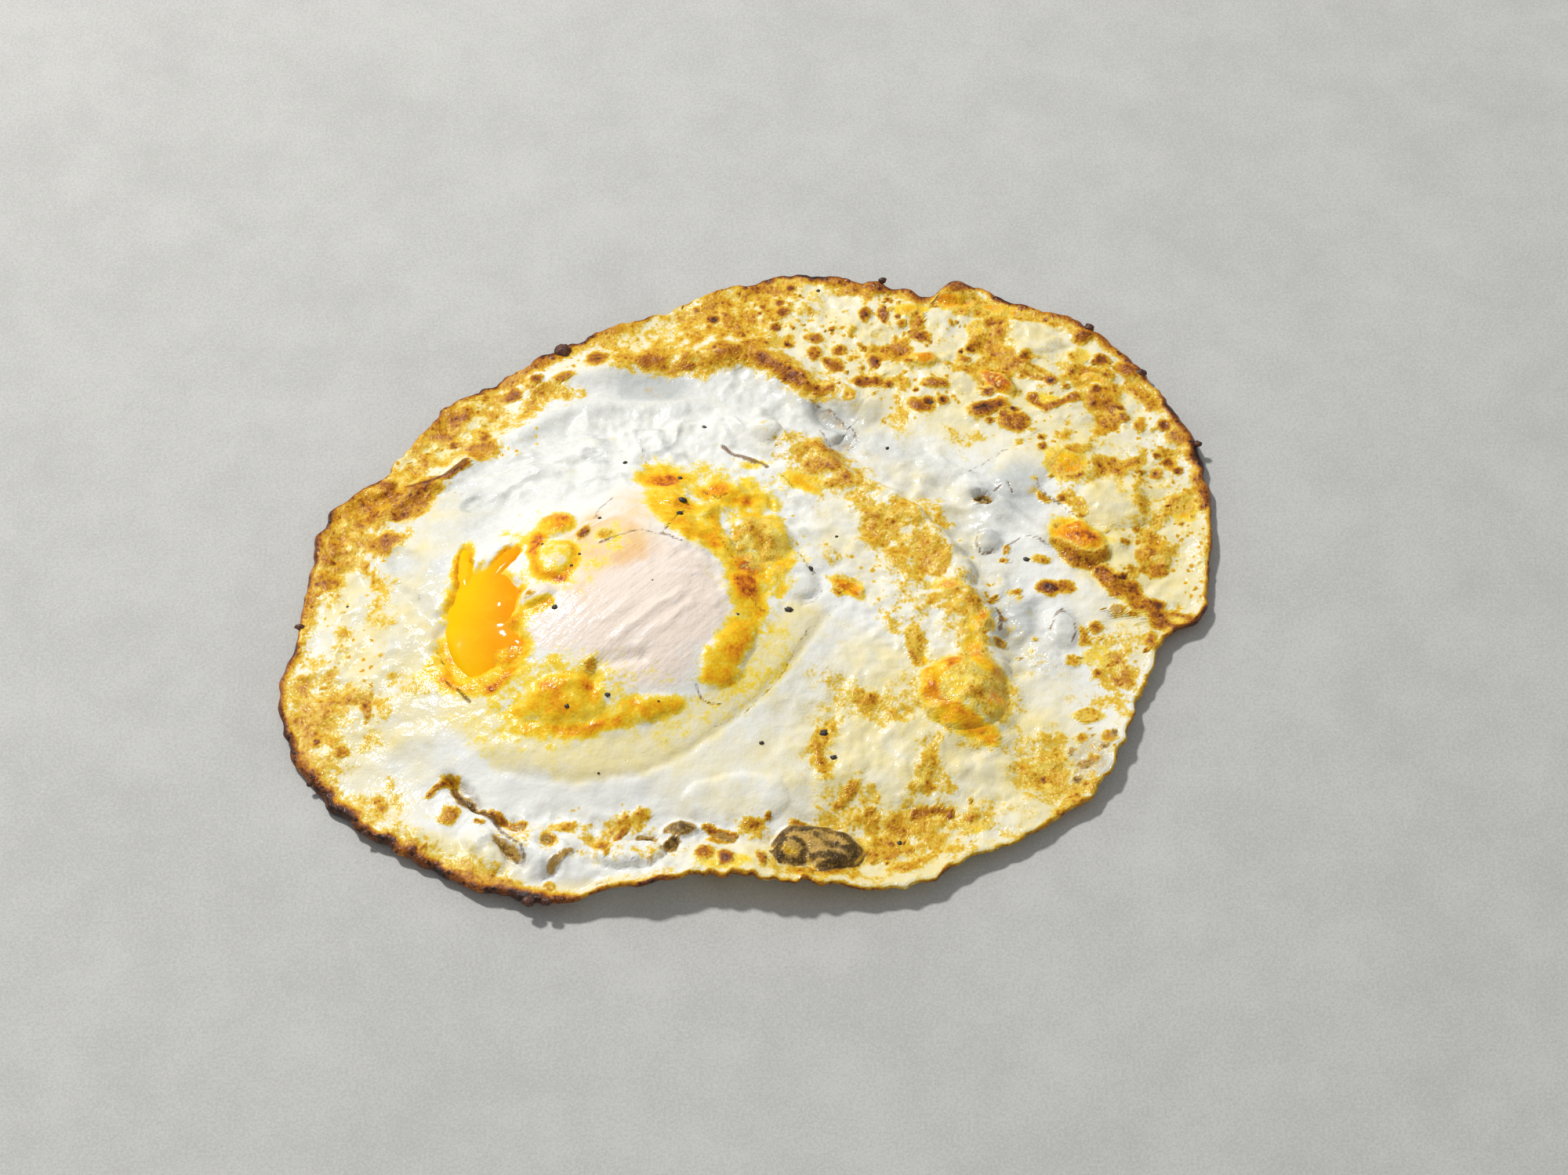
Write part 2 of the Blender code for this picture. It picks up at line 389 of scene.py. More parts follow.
# Bubbles, lumps and bulges, with how high they stand.
BLISTERS = patches(
    (27.6, -20.6, 5.8, 5.4, 1.7), (8.6, -43.3, 5.8, 3.2, 1.8, -8), (5, -44.2, 2.1, 2, 0.9),
    (44, 4.2, 3.9, 2.8, 1.6, -35), (48.8, 10.8, 4.5, 4.1, 0.9), (31.4, 4.2, 2.1, 1.8, 1.2),
    (28.4, 48.4, 2.9, 2.4, 1.6), (17.6, 48.6, 1.9, 1.6, 1.1), (46, 40.4, 1.4, 1.2, 0.9),
    (52.6, 33.8, 1.9, 1.4, 0.9, -30), (59.9, 20.4, 1.5, 1.5, 0.9), (-50, 13.4, 2.2, 1.7, 0.9, 30),
    (33.8, 31.6, 3.3, 1.4, 1.1, -35), (1.2, 2, 3.8, 4.2, 1.3, 20), (6, -4.4, 3.1, 3.1, 0.8),
    (-25.9, -4.2, 2.9, 3, 1), (-27.6, -9.8, 2.3, 1.6, 0.8, 20), (-25.6, 2.2, 2.8, 2.2, 0.8, 10),
    (-2.6, -17.6, 5.6, 2.6, 0.8, 58), (-30.6, -17.6, 2.6, 2.4, 0.6), (-24, -24.6, 5.6, 3, 0.6, 4),
    (-12.6, -25.6, 4.4, 1.6, 0.5, 12), (-5.6, 4.6, 1.6, 3.4, 0.7), (-10.4, 8.2, 2.4, 2.8, 0.6),
    (-9, -41, 2.5, 1.4, 0.9), (-15, -44.5, 4.8, 2.5, 1.4, 5), (-33.4, -43.2, 4.2, 2, 1.2, -55),
    (-26, -46.2, 2.3, 1.5, 0.8, 20), (23.4, 35, 2.3, 1.7, 0.8), (38, 39.4, 4.8, 3.4, 0.8),
    (2, 21.8, 2.2, 2.8, 1.1, 10), (-3.6, 9.8, 3.4, 2.2, 0.6), (41, -9.4, 2, 3.2, 0.8, 10),
    (36.4, 16, 3.6, 4.8, 0.9, -30), (-1.5, -37, 7, 3.4, 0.7, 5), (34.6, -38.2, 4.6, 2.9, 0.8, 15),
)

# Pits and slits, with how deep they are.
HOLLOWS = patches(
    (31.4, 11.2, 1.5, 0.95, 1.7, -20), (-36.2, -35.6, 3.4, 0.95, 1.7, -43),
    (-30.2, -40.2, 2.2, 0.8, 1, -20), (-29.8, -44.5, 2.5, 0.9, 1, -42), (-25.6, -43.3, 1.3, 1, 0.8, 10),
    (-9.8, -43.5, 1, 0.9, 1.1), (-13.4, -41.9, 1.9, 0.6, 0.7, 5), (-3.2, -41.9, 1.7, 0.6, 0.7, -15),
    (-36.8, 8.4, 1.4, 1.6, 0.8), (-45.4, -1.2, 1.8, 3.6, 0.8, 28), (11, 24.8, 3.6, 0.9, 0.8, -45),
    (12.2, 21, 2.6, 0.9, 0.7, 12),
)

# Where the thin white is clear, and so looks grey and bluish, with two patches of painted shadow in hollows
# on the left.
CLEAR = lines(
    (5, 0.42, (-34, 15), (-22, 25), (-8, 29.5), (3, 29), (12, 23.5), (20, 17.5), (27, 10), (32, 2),
     (34, -8), (38, -15)),
) + patches(
    (-13.6, 30.4, 6, 3.2, 0.95), (10.5, 25.2, 6.2, 2.6, 0.95, -42), (12.4, 21, 3.2, 1.5, 0.85, 10),
    # (-45.5, -1.4) and (-37, 9) on the next row are painted shadow in two hollows, not clear white.
    (14.4, 25.2, 3, 2.6, 0.8), (-45.5, -1.4, 3, 5, 0.6, 28), (-37, 9, 2.4, 3.4, 0.6, -20),
    (35, 12.6, 5, 6, 0.75, -25), (31, 5, 3.4, 3.2, 0.7), (34, -9.4, 3.6, 5.4, 0.8),
    (41.8, -10, 2.4, 4, 0.55), (43, -30, 3.4, 4.6, 0.9, -30), (9.4, -13.6, 8, 2.3, 0.15, 52),
    (-30, -43.6, 3.4, 1.6, 0.6, -42), (-15, -45, 7, 2.6, 0.3), (48.8, 10.8, 4.2, 3.8, 0.5),
    (17, 40, 2.6, 2.8, 0.35), (24, 12, 5, 4, 0.35, -50), (-24, 14, 16, 9, 0.12, 20), (-46, -6, 8, 12, 0.55),
    (-40, 7, 9, 8, 0.5), (-29, 12, 9, 6, 0.34), (-46, -20, 10, 12, 0.5), (-20, 30, 16, 4, 0.35, 14),
    (20, 20, 7, 4, 0.5, -40),
)

# Where the white is cream coloured.
CREAM = lines(
    (3, 0.75, *YOLK_BAND),
) + patches(
    (-18.6, -1.6, 6.6, 5.2, 0.85), (-13, 5, 5, 4, 0.6), (-22.6, -7, 4, 4, 0.6), (30, 35, 37, 15, 0.66, -22),
    (53, 4, 11, 22, 0.7, 8), (24, -29, 22, 18, 0.7), (-47, -18, 11, 16, 0.62), (-44, 6, 8, 8, 0.4),
    (4, -28, 16, 12, 0.42, 30), (20, 4, 11, 16, 0.45, 35), (-1, -31, 13, 7, 0.42, 32),
    (-53, -31, 9, 15, 0.62, 28), (-39, -45.5, 12, 4.5, 0.75, -22), (12, -46, 20, 5, 0.75),
    (-20, -49.4, 12, 1.6, 0.6), (-56, 1, 7, 13, 0.6), (-42, 24, 14, 7, 0.7, 42), (-8, 42, 22, 7, 0.6, 18),
    (-24, -30, 9, 3.5, 0.7),
)

# Where the thin white is laced with gold.
LACE = patches(
    (28, 37, 35, 15, 0.8, -22), (52, 14, 12, 25, 0.95, 12), (52, -12, 8, 9, 0.6),
    (44, -30, 6, 12, 0.6, -28), (-5, 43, 20, 6, 0.9, 18), (-36, 27, 20, 5.5, 0.9, 42),
    (-53, 4, 7, 15, 0.85, -8), (-57, -24, 6, 12, 0.55, 12), (-47, -37, 14, 5, 0.5, -40),
    (24, -26, 17, 19, 0.52), (22, 0, 10, 17, 0.72, 32), (-51, -18, 6, 12, 0.75), (18, -42, 18, 6, 0.75, 10),
    (-12, -42.5, 22, 3.6, 0.4),
)

# Where the fat has fried the white golden.
GOLD = lines(
    (1, 0.6, (-17.6, -42), (-16, -40), (-13.6, -39)),
    (2.4, 0.66, (-18, 35.2), (-8, 34.6), (0, 36.8), (4, 33.4), (10.6, 29.8)),
    (2.2, 0.72, (-47, -42.6), (-40, -45.6), (-31, -48.6)),
    (1.4, 0.6, (9.8, -26), (8.6, -30), (9.8, -34)),
    (1, 0.6, (18, -46.6), (22, -44.6), (26, -42.8)),
) + patches(
    (28, 37, 33, 12, 0.16, -22), (52, 14, 9, 22, 0.2, 12), (-5, 42.5, 15, 4.6, 0.56, 18),
    (-40, 23.5, 10, 4.4, 0.58, 42), (-45, 18.8, 2.6, 2.6, 0.85), (-36.6, 19.4, 2.2, 2.2, 0.8, 20),
    (-39.5, 25.4, 3.6, 1.8, 0.85, 35), (-51, 9, 2.8, 4.4, 0.8, -10), (-56, 1.6, 1.9, 6.4, 0.9, 4),
    (-45.6, 10.8, 4.8, 2.5, 0.95, 50), (-49, 3.6, 2.6, 1.8, 0.85, 15), (-53.2, -12.6, 1.2, 3.4, 0.55),
    (-58.6, -18, 1.8, 1.3, 0.85), (-56, -24, 4.5, 10, 0.5, 12), (-46, -44, 10, 2.6, 0.5, -38),
    (-47, -36.6, 1.1, 1.7, 0.8, 20), (-38, -38.4, 1.3, 1.3, 0.85), (-38, -33.9, 1.3, 0.7, 0.8, -10),
    (-22.4, -40.8, 2.6, 1, 0.62, -8), (-20.4, -42.4, 1.2, 0.8, 0.55), (-43, -20.6, 3.2, 1.2, 0.5, -10),
    (9.6, 16.6, 8, 3.4, 0.72, -35), (19.5, 4.4, 10, 4.4, 0.6, -58), (24.4, -5.4, 6, 5, 0.48, -60),
    (29.2, -11, 2.4, 8, 0.62), (28, -20.5, 6, 5.4, 0.5), (31.6, -22.4, 2.4, 3.4, 0.52, -20),
    (18.6, -39.4, 2, 1.6, 0.7), (15.4, -36, 1.2, 2.2, 0.6, 30), (37.6, -31, 4.2, 5.4, 0.6),
    (20, -41, 13, 4.6, 0.5, 12), (15.4, -22.8, 5.4, 2.2, 0.6, -18), (12.6, -36, 2.6, 1, 0.8, 50),
    (22.4, -32.6, 1.6, 3.2, 0.85, -12), (21.6, -14, 1, 3.2, 0.9), (12.6, -4.4, 2.2, 1.7, 0.9, -20),
    (1, 0.2, 3.4, 4.6, 0.6, 20), (17.4, -42.8, 3.4, 2, 0.8), (28.4, -39.2, 2.6, 2, 0.75),
    (-15.4, -40.2, 2.8, 1.6, 0.6, 20), (-19, -43, 1.4, 1.9, 0.6), (0.6, -41.2, 1.8, 1.3, 0.8),
    (9, -47, 5, 1.3, 0.75, 4), (-38, -46.6, 9, 2, 0.65, -20), (57.2, 11.2, 3.4, 3.2, 0.68),
    (54.4, 3.8, 2.6, 2.4, 0.62), (45, 20.4, 4, 1, 0.7, 20), (52.6, 12, 1.2, 4, 0.6),
    (43.4, 10.8, 1.4, 3.6, 0.6, 30), (43.2, 16.8, 3.2, 2.8, 0.62), (38, 34, 3.6, 1, 0.95, -30),
    (47, 33.2, 3, 1.1, 0.95, -25), (45.2, 36, 1.4, 1.8, 0.8), (48.4, 28.4, 2.6, 2.6, 0.7),
    (48.6, -17, 3, 2.6, 0.75), (47.6, -12.6, 4, 3, 0.5), (31.2, 45.4, 4.6, 2, 0.8, -18),
    (38.6, 44, 3, 1.4, 0.8, -20), (-25, 29, 2, 1.2, 0.6),
)

# Brown spots and streaks. Those along the far fold, at y 29 to 38, are partly browning and partly painted
# shade on the fold's shadowed side.
BROWN = lines(
    # The next two lines are partly browning and partly painted shade along the shadowed side of the far
    # fold.
    (1.1, 0.85, (1.2, 35.2), (3.4, 32.9), (6.4, 31.2)),
    (0.8, 0.8, (7.4, 30.4), (10.6, 29.6)),
    (1.3, 0.8, (-47.6, 8.6), (-44.6, 11.6), (-43, 14)),
    (0.65, 1, (-46, 13), (-43, 13.8), (-40.8, 14.6), (-38.6, 16.6)),
    (0.8, 0.85, (38.4, 29.2), (40.4, 27), (42.4, 27.8), (44.6, 29.2)),
    (1.1, 0.75, (41.2, 3.8), (43, 1.4), (45.4, 0.8), (46.8, 2.6)),
    (1.3, 0.92, (46.8, -0.6), (48.2, -2.8), (50.6, -2.8), (51, -5.4), (53, -6.2), (53.4, -8.2), (56, -8),
     (58.4, -8.8)),
    (0.7, 0.62, (23, -19.6), (22.8, -22), (23.8, -24.2)),
    (0.5, 0.8, (21, -37.8), (23.6, -37.4), (25.6, -37.8)),
    (0.7, 0.6, (9.6, -27), (8.8, -29.4), (9.4, -32.6)),
    (0.5, 0.9, (-5.6, -40.6), (-4, -41.4), (-2, -42)),
    (0.5, 0.85, (-16.9, -42.4), (-15.6, -40.8)),
    (0.45, 0.9, (-33.2, -38.4), (-31.4, -39), (-29.8, -39.9)),
    (0.45, 0.85, (-40.6, -35.6), (-39.8, -34.6), (-38.8, -34.1)),
) + patches(
    # The second to fifth patches, along the far fold, are partly browning and partly painted shade of the
    # fold.
    (8.8, -43.2, 4.6, 2.4, 0.85, -8), (-14.4, 34.8, 3, 1.3, 0.85), (-9, 34.3, 1.8, 0.8, 0.8),
    (-3.2, 35.6, 2.6, 1.1, 0.85, 12), (0.2, 37.4, 2.2, 1.4, 0.7), (8.6, 39.6, 1.2, 0.8, 0.8),
    (8.7, 36.6, 1.1, 1.5, 0.85), (11.4, 34.4, 1.3, 1.1, 0.8), (12, 37.4, 1.1, 1.2, 0.75),
    (5.2, 38.2, 0.7, 0.7, 1), (17, 35, 1, 1, 0.95), (15.4, 31.4, 2.3, 0.9, 0.9, 5),
    (20.6, 37.2, 1.8, 1.2, 0.85), (15.5, 43.7, 0.8, 1.4, 0.9, 8), (18, 43.6, 0.8, 1.4, 0.95, 8),
    (1, 48.6, 1.6, 1, 0.85, 10), (22.8, 42.4, 1, 2.2, 0.75), (23.2, 39.8, 1.4, 0.9, 0.85),
    (-3.4, 43, 1.2, 1.7, 0.7), (-0.6, 42.6, 1.3, 1.4, 0.7), (-21.6, 35.2, 1.6, 1.6, 0.9),
    (-25.6, 31.8, 1.6, 0.8, 0.75, 10), (-33, 29.2, 1.4, 1.6, 0.95), (-40.6, 25, 2.4, 0.7, 0.85, 20),
    (-48.6, 12.4, 1.4, 2.6, 0.85, 20), (-48.8, 3.5, 1.3, 1, 0.9), (-57.2, -2.8, 0.6, 0.6, 0.9),
    (23.4, 35, 1.6, 1.1, 0.8), (31.4, 41, 1.2, 1.7, 0.85), (30.6, 38.4, 0.7, 1.2, 0.75),
    (29, 35.8, 0.9, 0.6, 0.9), (33.6, 31.8, 3, 1.1, 0.85, -35), (32.4, 26.9, 2.8, 1.3, 1, 25),
    (31, 26, 1.2, 1, 0.7), (35.8, 24.8, 1.9, 1.7, 0.85), (35.8, 26.9, 0.8, 0.4, 1),
    (23, 27.4, 1.8, 1, 0.9, -30), (25.4, 31, 2, 0.8, 0.85), (28.4, 48.8, 2.4, 1.8, 0.95),
    (17.4, 48.6, 1.8, 1.3, 0.95), (19, 46.3, 0.8, 0.6, 0.9), (46.2, 40, 1.2, 1.3, 0.9),
    (52, 34, 2, 1.3, 0.9, -20), (50.7, 27, 0.6, 0.5, 1), (53.2, 24.4, 0.7, 1.4, 0.75),
    (49, 23.8, 0.5, 0.5, 0.9), (56.4, 18.2, 0.9, 0.6, 1), (58, 22, 1.6, 1.4, 0.8),
    (43.2, 30.6, 0.5, 0.4, 1), (41.6, 11.7, 0.7, 0.5, 0.9), (39.4, 11.4, 1.1, 0.5, 0.8, -55),
    (56, 10.8, 0.6, 0.5, 0.9), (43.4, 15.6, 1.2, 1, 0.7), (48, -1.6, 1.4, 1.1, 0.95),
    (52, -5.6, 1.2, 1.4, 0.95, 30), (56.4, -8.2, 1.8, 0.9, 0.85), (50.6, 0.4, 0.7, 0.5, 0.7),
    (39.6, -3.5, 1.5, 1.2, 1), (41.6, -3.3, 1.4, 1.3, 0.7), (53.8, 0.6, 1.4, 1.3, 0.75),
    (48.5, -6.5, 0.9, 0.9, 0.75), (50.4, -7.4, 0.8, 0.5, 1, -50), (52.5, -11.5, 0.8, 1.6, 0.85),
    (43.8, -10.6, 0.6, 1.4, 0.8, 10), (47.8, -13.5, 1.2, 0.9, 0.65), (32, -5.2, 0.5, 0.6, 0.9),
    (33.6, 1.1, 0.7, 0.35, 1, -30), (34.3, 2.8, 0.35, 0.8, 0.9, -10), (38.5, 1.3, 1, 0.8, 0.65),
    (27.6, -38.4, 0.8, 0.5, 0.7), (31, -27.4, 1.2, 0.8, 0.6), (43.6, -23, 1.6, 1, 0.8),
    (40.4, -36.4, 1.2, 2.6, 0.7, -38), (37.4, -32.2, 0.9, 0.7, 0.7, -20), (18.4, -39.4, 1.1, 1, 0.75),
    (17.6, -43.2, 1.6, 1.1, 0.65), (22, -38, 2, 0.6, 0.6, 10), (14.2, -21.6, 1, 1, 0.55),
    (17.6, 7, 2.2, 0.9, 0.7, -15), (11.6, 12.6, 2.2, 0.7, 0.6, 5), (-5.2, -45.1, 1.1, 1.2, 0.8),
    (-2.9, -45.8, 0.9, 1.3, 1), (1.8, -45.8, 0.5, 1.2, 0.75), (6.6, -39.8, 1.2, 0.6, 0.8),
    (-4, -42.6, 1.4, 0.8, 0.7, -10), (-18.7, -43.5, 1, 0.9, 0.8, 20), (-18.1, -44.7, 0.4, 0.6, 0.8),
    (-25.2, -42.5, 1.1, 0.7, 0.85, 10), (-29, -40.2, 1.1, 0.7, 1, -20), (-34.3, -39.6, 0.5, 0.5, 0.9),
    (-42.6, -43.4, 1.4, 0.8, 0.85, -20), (-26.8, -50.2, 2.6, 0.8, 0.95), (-25, -48.6, 0.7, 0.9, 0.6),
    (-41.1, -42.9, 0.45, 0.45, 1), (-52, -29, 0.9, 1, 0.75), (-49.6, -23, 0.6, 1.6, 0.75, 20),
    (-53.2, -27.6, 0.7, 1, 0.5), (-41.4, -43.2, 0.5, 0.35, 0.9), (-50, 14, 1.2, 0.9, 0.8),
    (60, 20.6, 1.2, 1.2, 0.9), (2.1, -39.2, 0.4, 0.4, 0.9), (-21.7, 0.4, 0.6, 1.4, 1, -22),
    (-20.2, -20.6, 0.6, 1, 0.7), (-28.4, -10.2, 0.6, 0.5, 0.5),
)

# Dark olive places in bubbles and slits: the fried underside's olive, darkened with painted shade where
# their share is strongest.
OLIVE = lines(
    (0.7, 1, (3, -42.6), (5, -40.9), (8.6, -40.2), (12, -41.4), (13.8, -43.6), (12.6, -45.4), (9, -46.2)),
    (0.6, 1, (3.1, -44.4), (4.2, -46), (6.4, -46), (7.3, -44.4), (6.2, -42.8), (4.2, -42.8), (3.1, -44.4)),
    (0.6, 1, (8.6, -41.8), (10.4, -43.4), (12.6, -43.8)),
    (0.5, 1, (8.2, -45), (10, -44.6), (11.6, -45.2)),
    (0.45, 0.6, (-25, -46.6), (-23.6, -45.4), (-22.2, -44.7)),
) + patches(
    (8.8, -43.2, 5, 2.6, 0.62, -8), (-36.2, -36, 2.2, 0.95, 1, -43), (-34.4, -37.7, 1.3, 0.5, 1, -38),
    (-29, -40.2, 1, 0.5, 0.7, -20), (-30.2, -43.5, 2.6, 0.8, 0.72, -42), (-25.4, -42.6, 0.9, 0.6, 0.7, 10),
    (-8.9, -40.8, 2.3, 0.95, 0.85), (-9.8, -42.7, 1, 0.8, 1, 10), (-12.8, -41.7, 1.3, 0.5, 0.85, 5),
    (-12, -46, 0.6, 0.6, 0.45), (-14, -46, 0.5, 0.4, 0.35), (-18.4, -48.8, 1, 0.4, 0.45),
    (-3.2, -41.9, 1.5, 0.5, 0.7, -15), (31, 11.3, 1.3, 0.8, 1, -20), (43.6, -30, 2.6, 3.8, 0.34, -30),
    (48.2, -6.4, 0.8, 0.8, 0.6), (38.6, -14.4, 2, 1.4, 0.22), (42.8, -30.6, 1, 0.8, 0.75),
    (41.9, -32.8, 0.7, 0.5, 0.9), (41, -28.6, 0.6, 0.6, 0.6), (45.2, -28.2, 0.6, 0.5, 0.7),
    (46.6, -26.2, 0.5, 0.7, 0.7), (33.2, -8.5, 0.6, 0.6, 0.8), (33.2, -11.8, 0.4, 0.4, 0.7),
    (-13.4, 29.4, 2.4, 1.2, 0.3, -10), (10.8, 25.8, 4.4, 0.8, 0.35, -45), (12.4, 21, 2.4, 0.8, 0.35, 10),
    (8.6, -28.4, 0.9, 0.7, 0.2),
)

# The film of white over the yolk, pink where it is thick and peach where it is thin.
BLUSH = patches(
    (-12, -9.5, 10, 9, 0.85, -30), (-24.6, -15.4, 5, 3, 0.85, -10), (-20, -12.6, 6, 5.4, 0.8),
    (-14.6, -18.4, 8, 5.2, 0.8, 5), (-18.6, -1, 6.4, 6, 0.6), (-14, 4, 6, 6, 0.45),
    (-27.6, -9.8, 2, 1.6, 0.95, 20), (-26, -4.2, 1.8, 1.7, 0.6),
)

# Where the yolk shines through the film.
SUN = lines(
    (2.3, 0.8, (-12, 12.6), (-10.6, 7), (-9.4, 3.4), (-6, 0.6), (-2.6, -2), (-0.4, -6.4), (0.4, -10.8),
     (-1.6, -15), (-4, -20.4)),
    (2.6, 0.62, (-6, 12.6), (-2.4, 11), (1.4, 9)),
    (1.8, 0.7, (-10, 2.8), (-5.6, 6.8), (-1.4, 8)),
    (1.9, 0.7, (-1, 5.6), (2.6, 4.6), (4.4, 1.6), (3, -2.4), (1, -4)),
    (1.3, 0.72, (5, -1.8), (2.6, -5), (1.4, -8)),
    (1.1, 0.85, (-4.7, 7), (-5, 4), (-4.4, 1.6)),
    (1, 0.95, (-28.4, -2.6), (-27.9, -5), (-26.6, -6.8), (-24.4, -7.5), (-23.3, -5.5), (-23.1, -2.6)),
    (0.9, 0.8, (-31, -13), (-28.2, -12.2), (-25.8, -11.4)),
    (1, 0.9, (-25.5, -28.2), (-21, -28.8), (-17.5, -27.9), (-14, -26.8)),
    (1.8, 0.9, (-40.6, -18), (-38, -20.6), (-34.6, -21.4), (-31.6, -20.6)),
) + patches(
    (-11.4, 11.4, 3.2, 2.6, 1), (-12.6, 7.4, 1.9, 4.2, 0.85, 12), (-10.2, 4.8, 2.9, 2.6, 0.95),
    (-12.2, 14.6, 2.6, 1.3, 0.5), (-4.6, 9.8, 4, 2.6, 0.9), (-1.4, 8, 2.3, 1.3, 0.85, 20),
    (-5.2, 13.4, 2.9, 1.5, 0.58), (0.6, 15.6, 2.3, 0.9, 0.6, 10), (-6.8, 0.5, 2.8, 1.5, 0.95, -20),
    (1.8, 2.8, 3.1, 2.5, 0.78), (-1.4, -2.2, 2.5, 1.9, 0.95, -20), (2.8, -2.6, 4.2, 1.7, 0.85, 52),
    (-0.1, -6.6, 2.2, 2.4, 1), (3.6, -6.8, 1.7, 1.3, 0.7), (0.4, -10.8, 2.2, 1.8, 0.95),
    (-2.4, -16.4, 5.4, 2.3, 0.9, 58), (-4.2, -20.8, 2.7, 1.6, 1), (-25.6, 2.2, 2.6, 2.1, 1, 10),
    (-28.2, -0.6, 1.2, 2.6, 1), (-25.4, -2, 2.2, 1, 0.75), (-31, 1.8, 1.9, 0.8, 0.62, -20),
    (-30.8, -14.2, 2.6, 2.4, 0.85), (-30.4, -9.4, 1, 2.4, 0.95), (-24.8, -19.3, 1.8, 0.8, 0.85),
    (-24.4, -24.4, 7.2, 3.5, 0.86, 4), (-31.6, -24, 2.4, 2, 0.5), (-27.6, -28.4, 3, 1.1, 0.75, -35),
    (-12.6, -25.7, 4.6, 1.7, 1, 12), (-24.8, -30.7, 1.1, 0.6, 0.5), (-24.4, -34, 1.6, 0.6, 0.35),
    (-38, -18.6, 2.4, 2.2, 0.62), (-34, -18.6, 2, 2, 0.5), (-36.4, -21.2, 3.2, 1.1, 0.66, -5),
    (-41, -19.3, 3, 0.9, 0.4), (-32.4, -21, 2.6, 1.4, 0.9, 25),
)

# Where the yolk only warms the white over it.
GLOW = patches(
    (-5, 8, 10, 7, 0.26, 10), (1.6, -3, 6, 8, 0.26), (-24, -25, 13, 6.5, 0.3, 4),
    (-9, -26.4, 9, 3.6, 0.2, 18), (0.5, -18, 4.4, 8, 0.22, -30), (-27, -2, 6.5, 6.5, 0.24),
    (-19, -2.6, 2.8, 4.6, 0.27, -20), (-22, -8, 3, 3, 0.2), (-33, -19.5, 7, 3.6, 0.34),
)

# Where a bubble of fat has fried the white orange.
AMBER = lines(
    (1.4, 0.68, (26.6, -16.6), (23.8, -18.6), (23, -21.4), (24.2, -24), (27.4, -25.4), (31, -27.2)),
    (1.5, 0.6, (29.6, -9), (29, -13), (29.6, -16.4), (32, -18.6)),
    (0.8, 0.55, (21.4, -11.4), (21.6, -13.6), (22.4, -16.2)),
    (1.6, 0.5, (48, -2), (50.6, -4.4), (52.6, -6.6)),
) + patches(
    (43.8, 4.6, 3.9, 2.5, 0.8, -35), (33.6, 31.6, 3, 1.2, 0.8, -35), (23.4, 35, 1.9, 1.4, 0.7),
    (42.6, 17.4, 2.6, 2.6, 0.66), (31.4, 41.2, 1.4, 1.6, 0.6), (28, 46.2, 3.8, 1.5, 0.66),
    (21.8, 44.4, 2.4, 1.4, 0.5), (34.8, 45, 4, 1.2, 0.6, -18), (38.6, 33.8, 2.4, 0.7, 0.6, -25),
    (46.8, 32.6, 2.6, 0.9, 0.65, -20), (45.4, 36.4, 1.4, 1.6, 0.4), (49, 28.4, 2.2, 2.2, 0.42),
    (40.8, 28.2, 2.8, 1.4, 0.45), (58, 10.4, 2.2, 2.4, 0.55), (28.6, -20, 4.6, 4.2, 0.36),
    (31.8, -22.6, 2.2, 2.6, 0.6), (12.6, -4.6, 2.3, 1.1, 0.78, -30), (25.6, -3.9, 2.3, 1, 0.66, -10),
    (43.6, -23, 1.8, 1, 0.6), (56, -8, 2, 1, 0.6, -10), (46.4, -14, 3.2, 2, 0.34, -20),
    (22.4, -31.6, 0.9, 2.6, 0.5, -12), (38, -31.6, 2.6, 3, 0.38), (40, -36.8, 1, 2.2, 0.55, -36),
    (14.6, -22.4, 2.2, 1.2, 0.4, -18), (16.6, -43, 2.8, 1.4, 0.5), (28.4, -39.6, 2, 1.4, 0.4),
    (18.4, 7.6, 2.6, 1.4, 0.5, -20), (7.4, 13, 3.4, 1.8, 0.45, -10), (-3, -46.4, 3.4, 1.6, 0.4),
    (-39, -46, 6, 1.6, 0.45, -22),
)

# Islands of plain white and cream in the lace.
BARE = patches(
    (40.8, 38.8, 5.4, 3, 1, -20), (40.6, 34.6, 2.6, 1.3, 0.9, -30), (11, 46, 4.2, 1.6, 1, 5),
    (16.6, 40.2, 2.8, 1.8, 0.95), (26, 41.8, 1.7, 2.6, 1), (27, 37, 1.2, 2, 0.8), (19.6, 33.6, 2.2, 1, 0.8),
    (29.2, 31.4, 1.8, 1.6, 0.8), (27.4, 25.2, 3.6, 2, 0.9, -20), (45.4, 25, 2, 2.6, 0.9),
    (52.4, 27, 1.3, 3.4, 0.8, 15), (48.8, 10.9, 4.7, 4.3, 1), (49.6, 20.4, 3.8, 1.6, 0.85),
    (48.6, 3, 2.4, 1.7, 0.9), (55.4, -2.6, 2, 2.6, 0.9), (42, -6.6, 3, 2, 0.8), (-12, 41, 3.8, 1.7, 1, 15),
    (-45.4, 22.4, 1.6, 1.6, 0.9, 30), (-40.6, 17.8, 2.2, 2, 1, 30), (-34, 24, 3, 1.6, 0.6, 40),
    (-50.6, 5.6, 1.4, 2, 0.7), (-52.6, -3, 1.8, 3.4, 0.8), (-49, -32, 3.4, 2.6, 0.9, -40),
    (-57.6, -22, 1.2, 2.6, 0.6), (31, -33.4, 4.2, 2.4, 0.9, -10), (34.6, -38.4, 3.2, 1.7, 1, 20),
    (38.6, -25.6, 3, 3.4, 0.9), (27.4, -30.4, 3, 1.8, 0.8), (15.4, -29, 4, 3, 0.9),
    (25.4, -10.4, 2.4, 3.2, 0.85, 10), (22.4, -7, 2.4, 1.2, 0.7), (17, -16.4, 3.6, 3, 0.8),
    (22.6, -42, 2, 1.4, 0.8, 20), (16, -46.4, 2.6, 1.2, 0.9, 10), (12.4, 6.8, 3.6, 2.6, 0.9, -50),
)

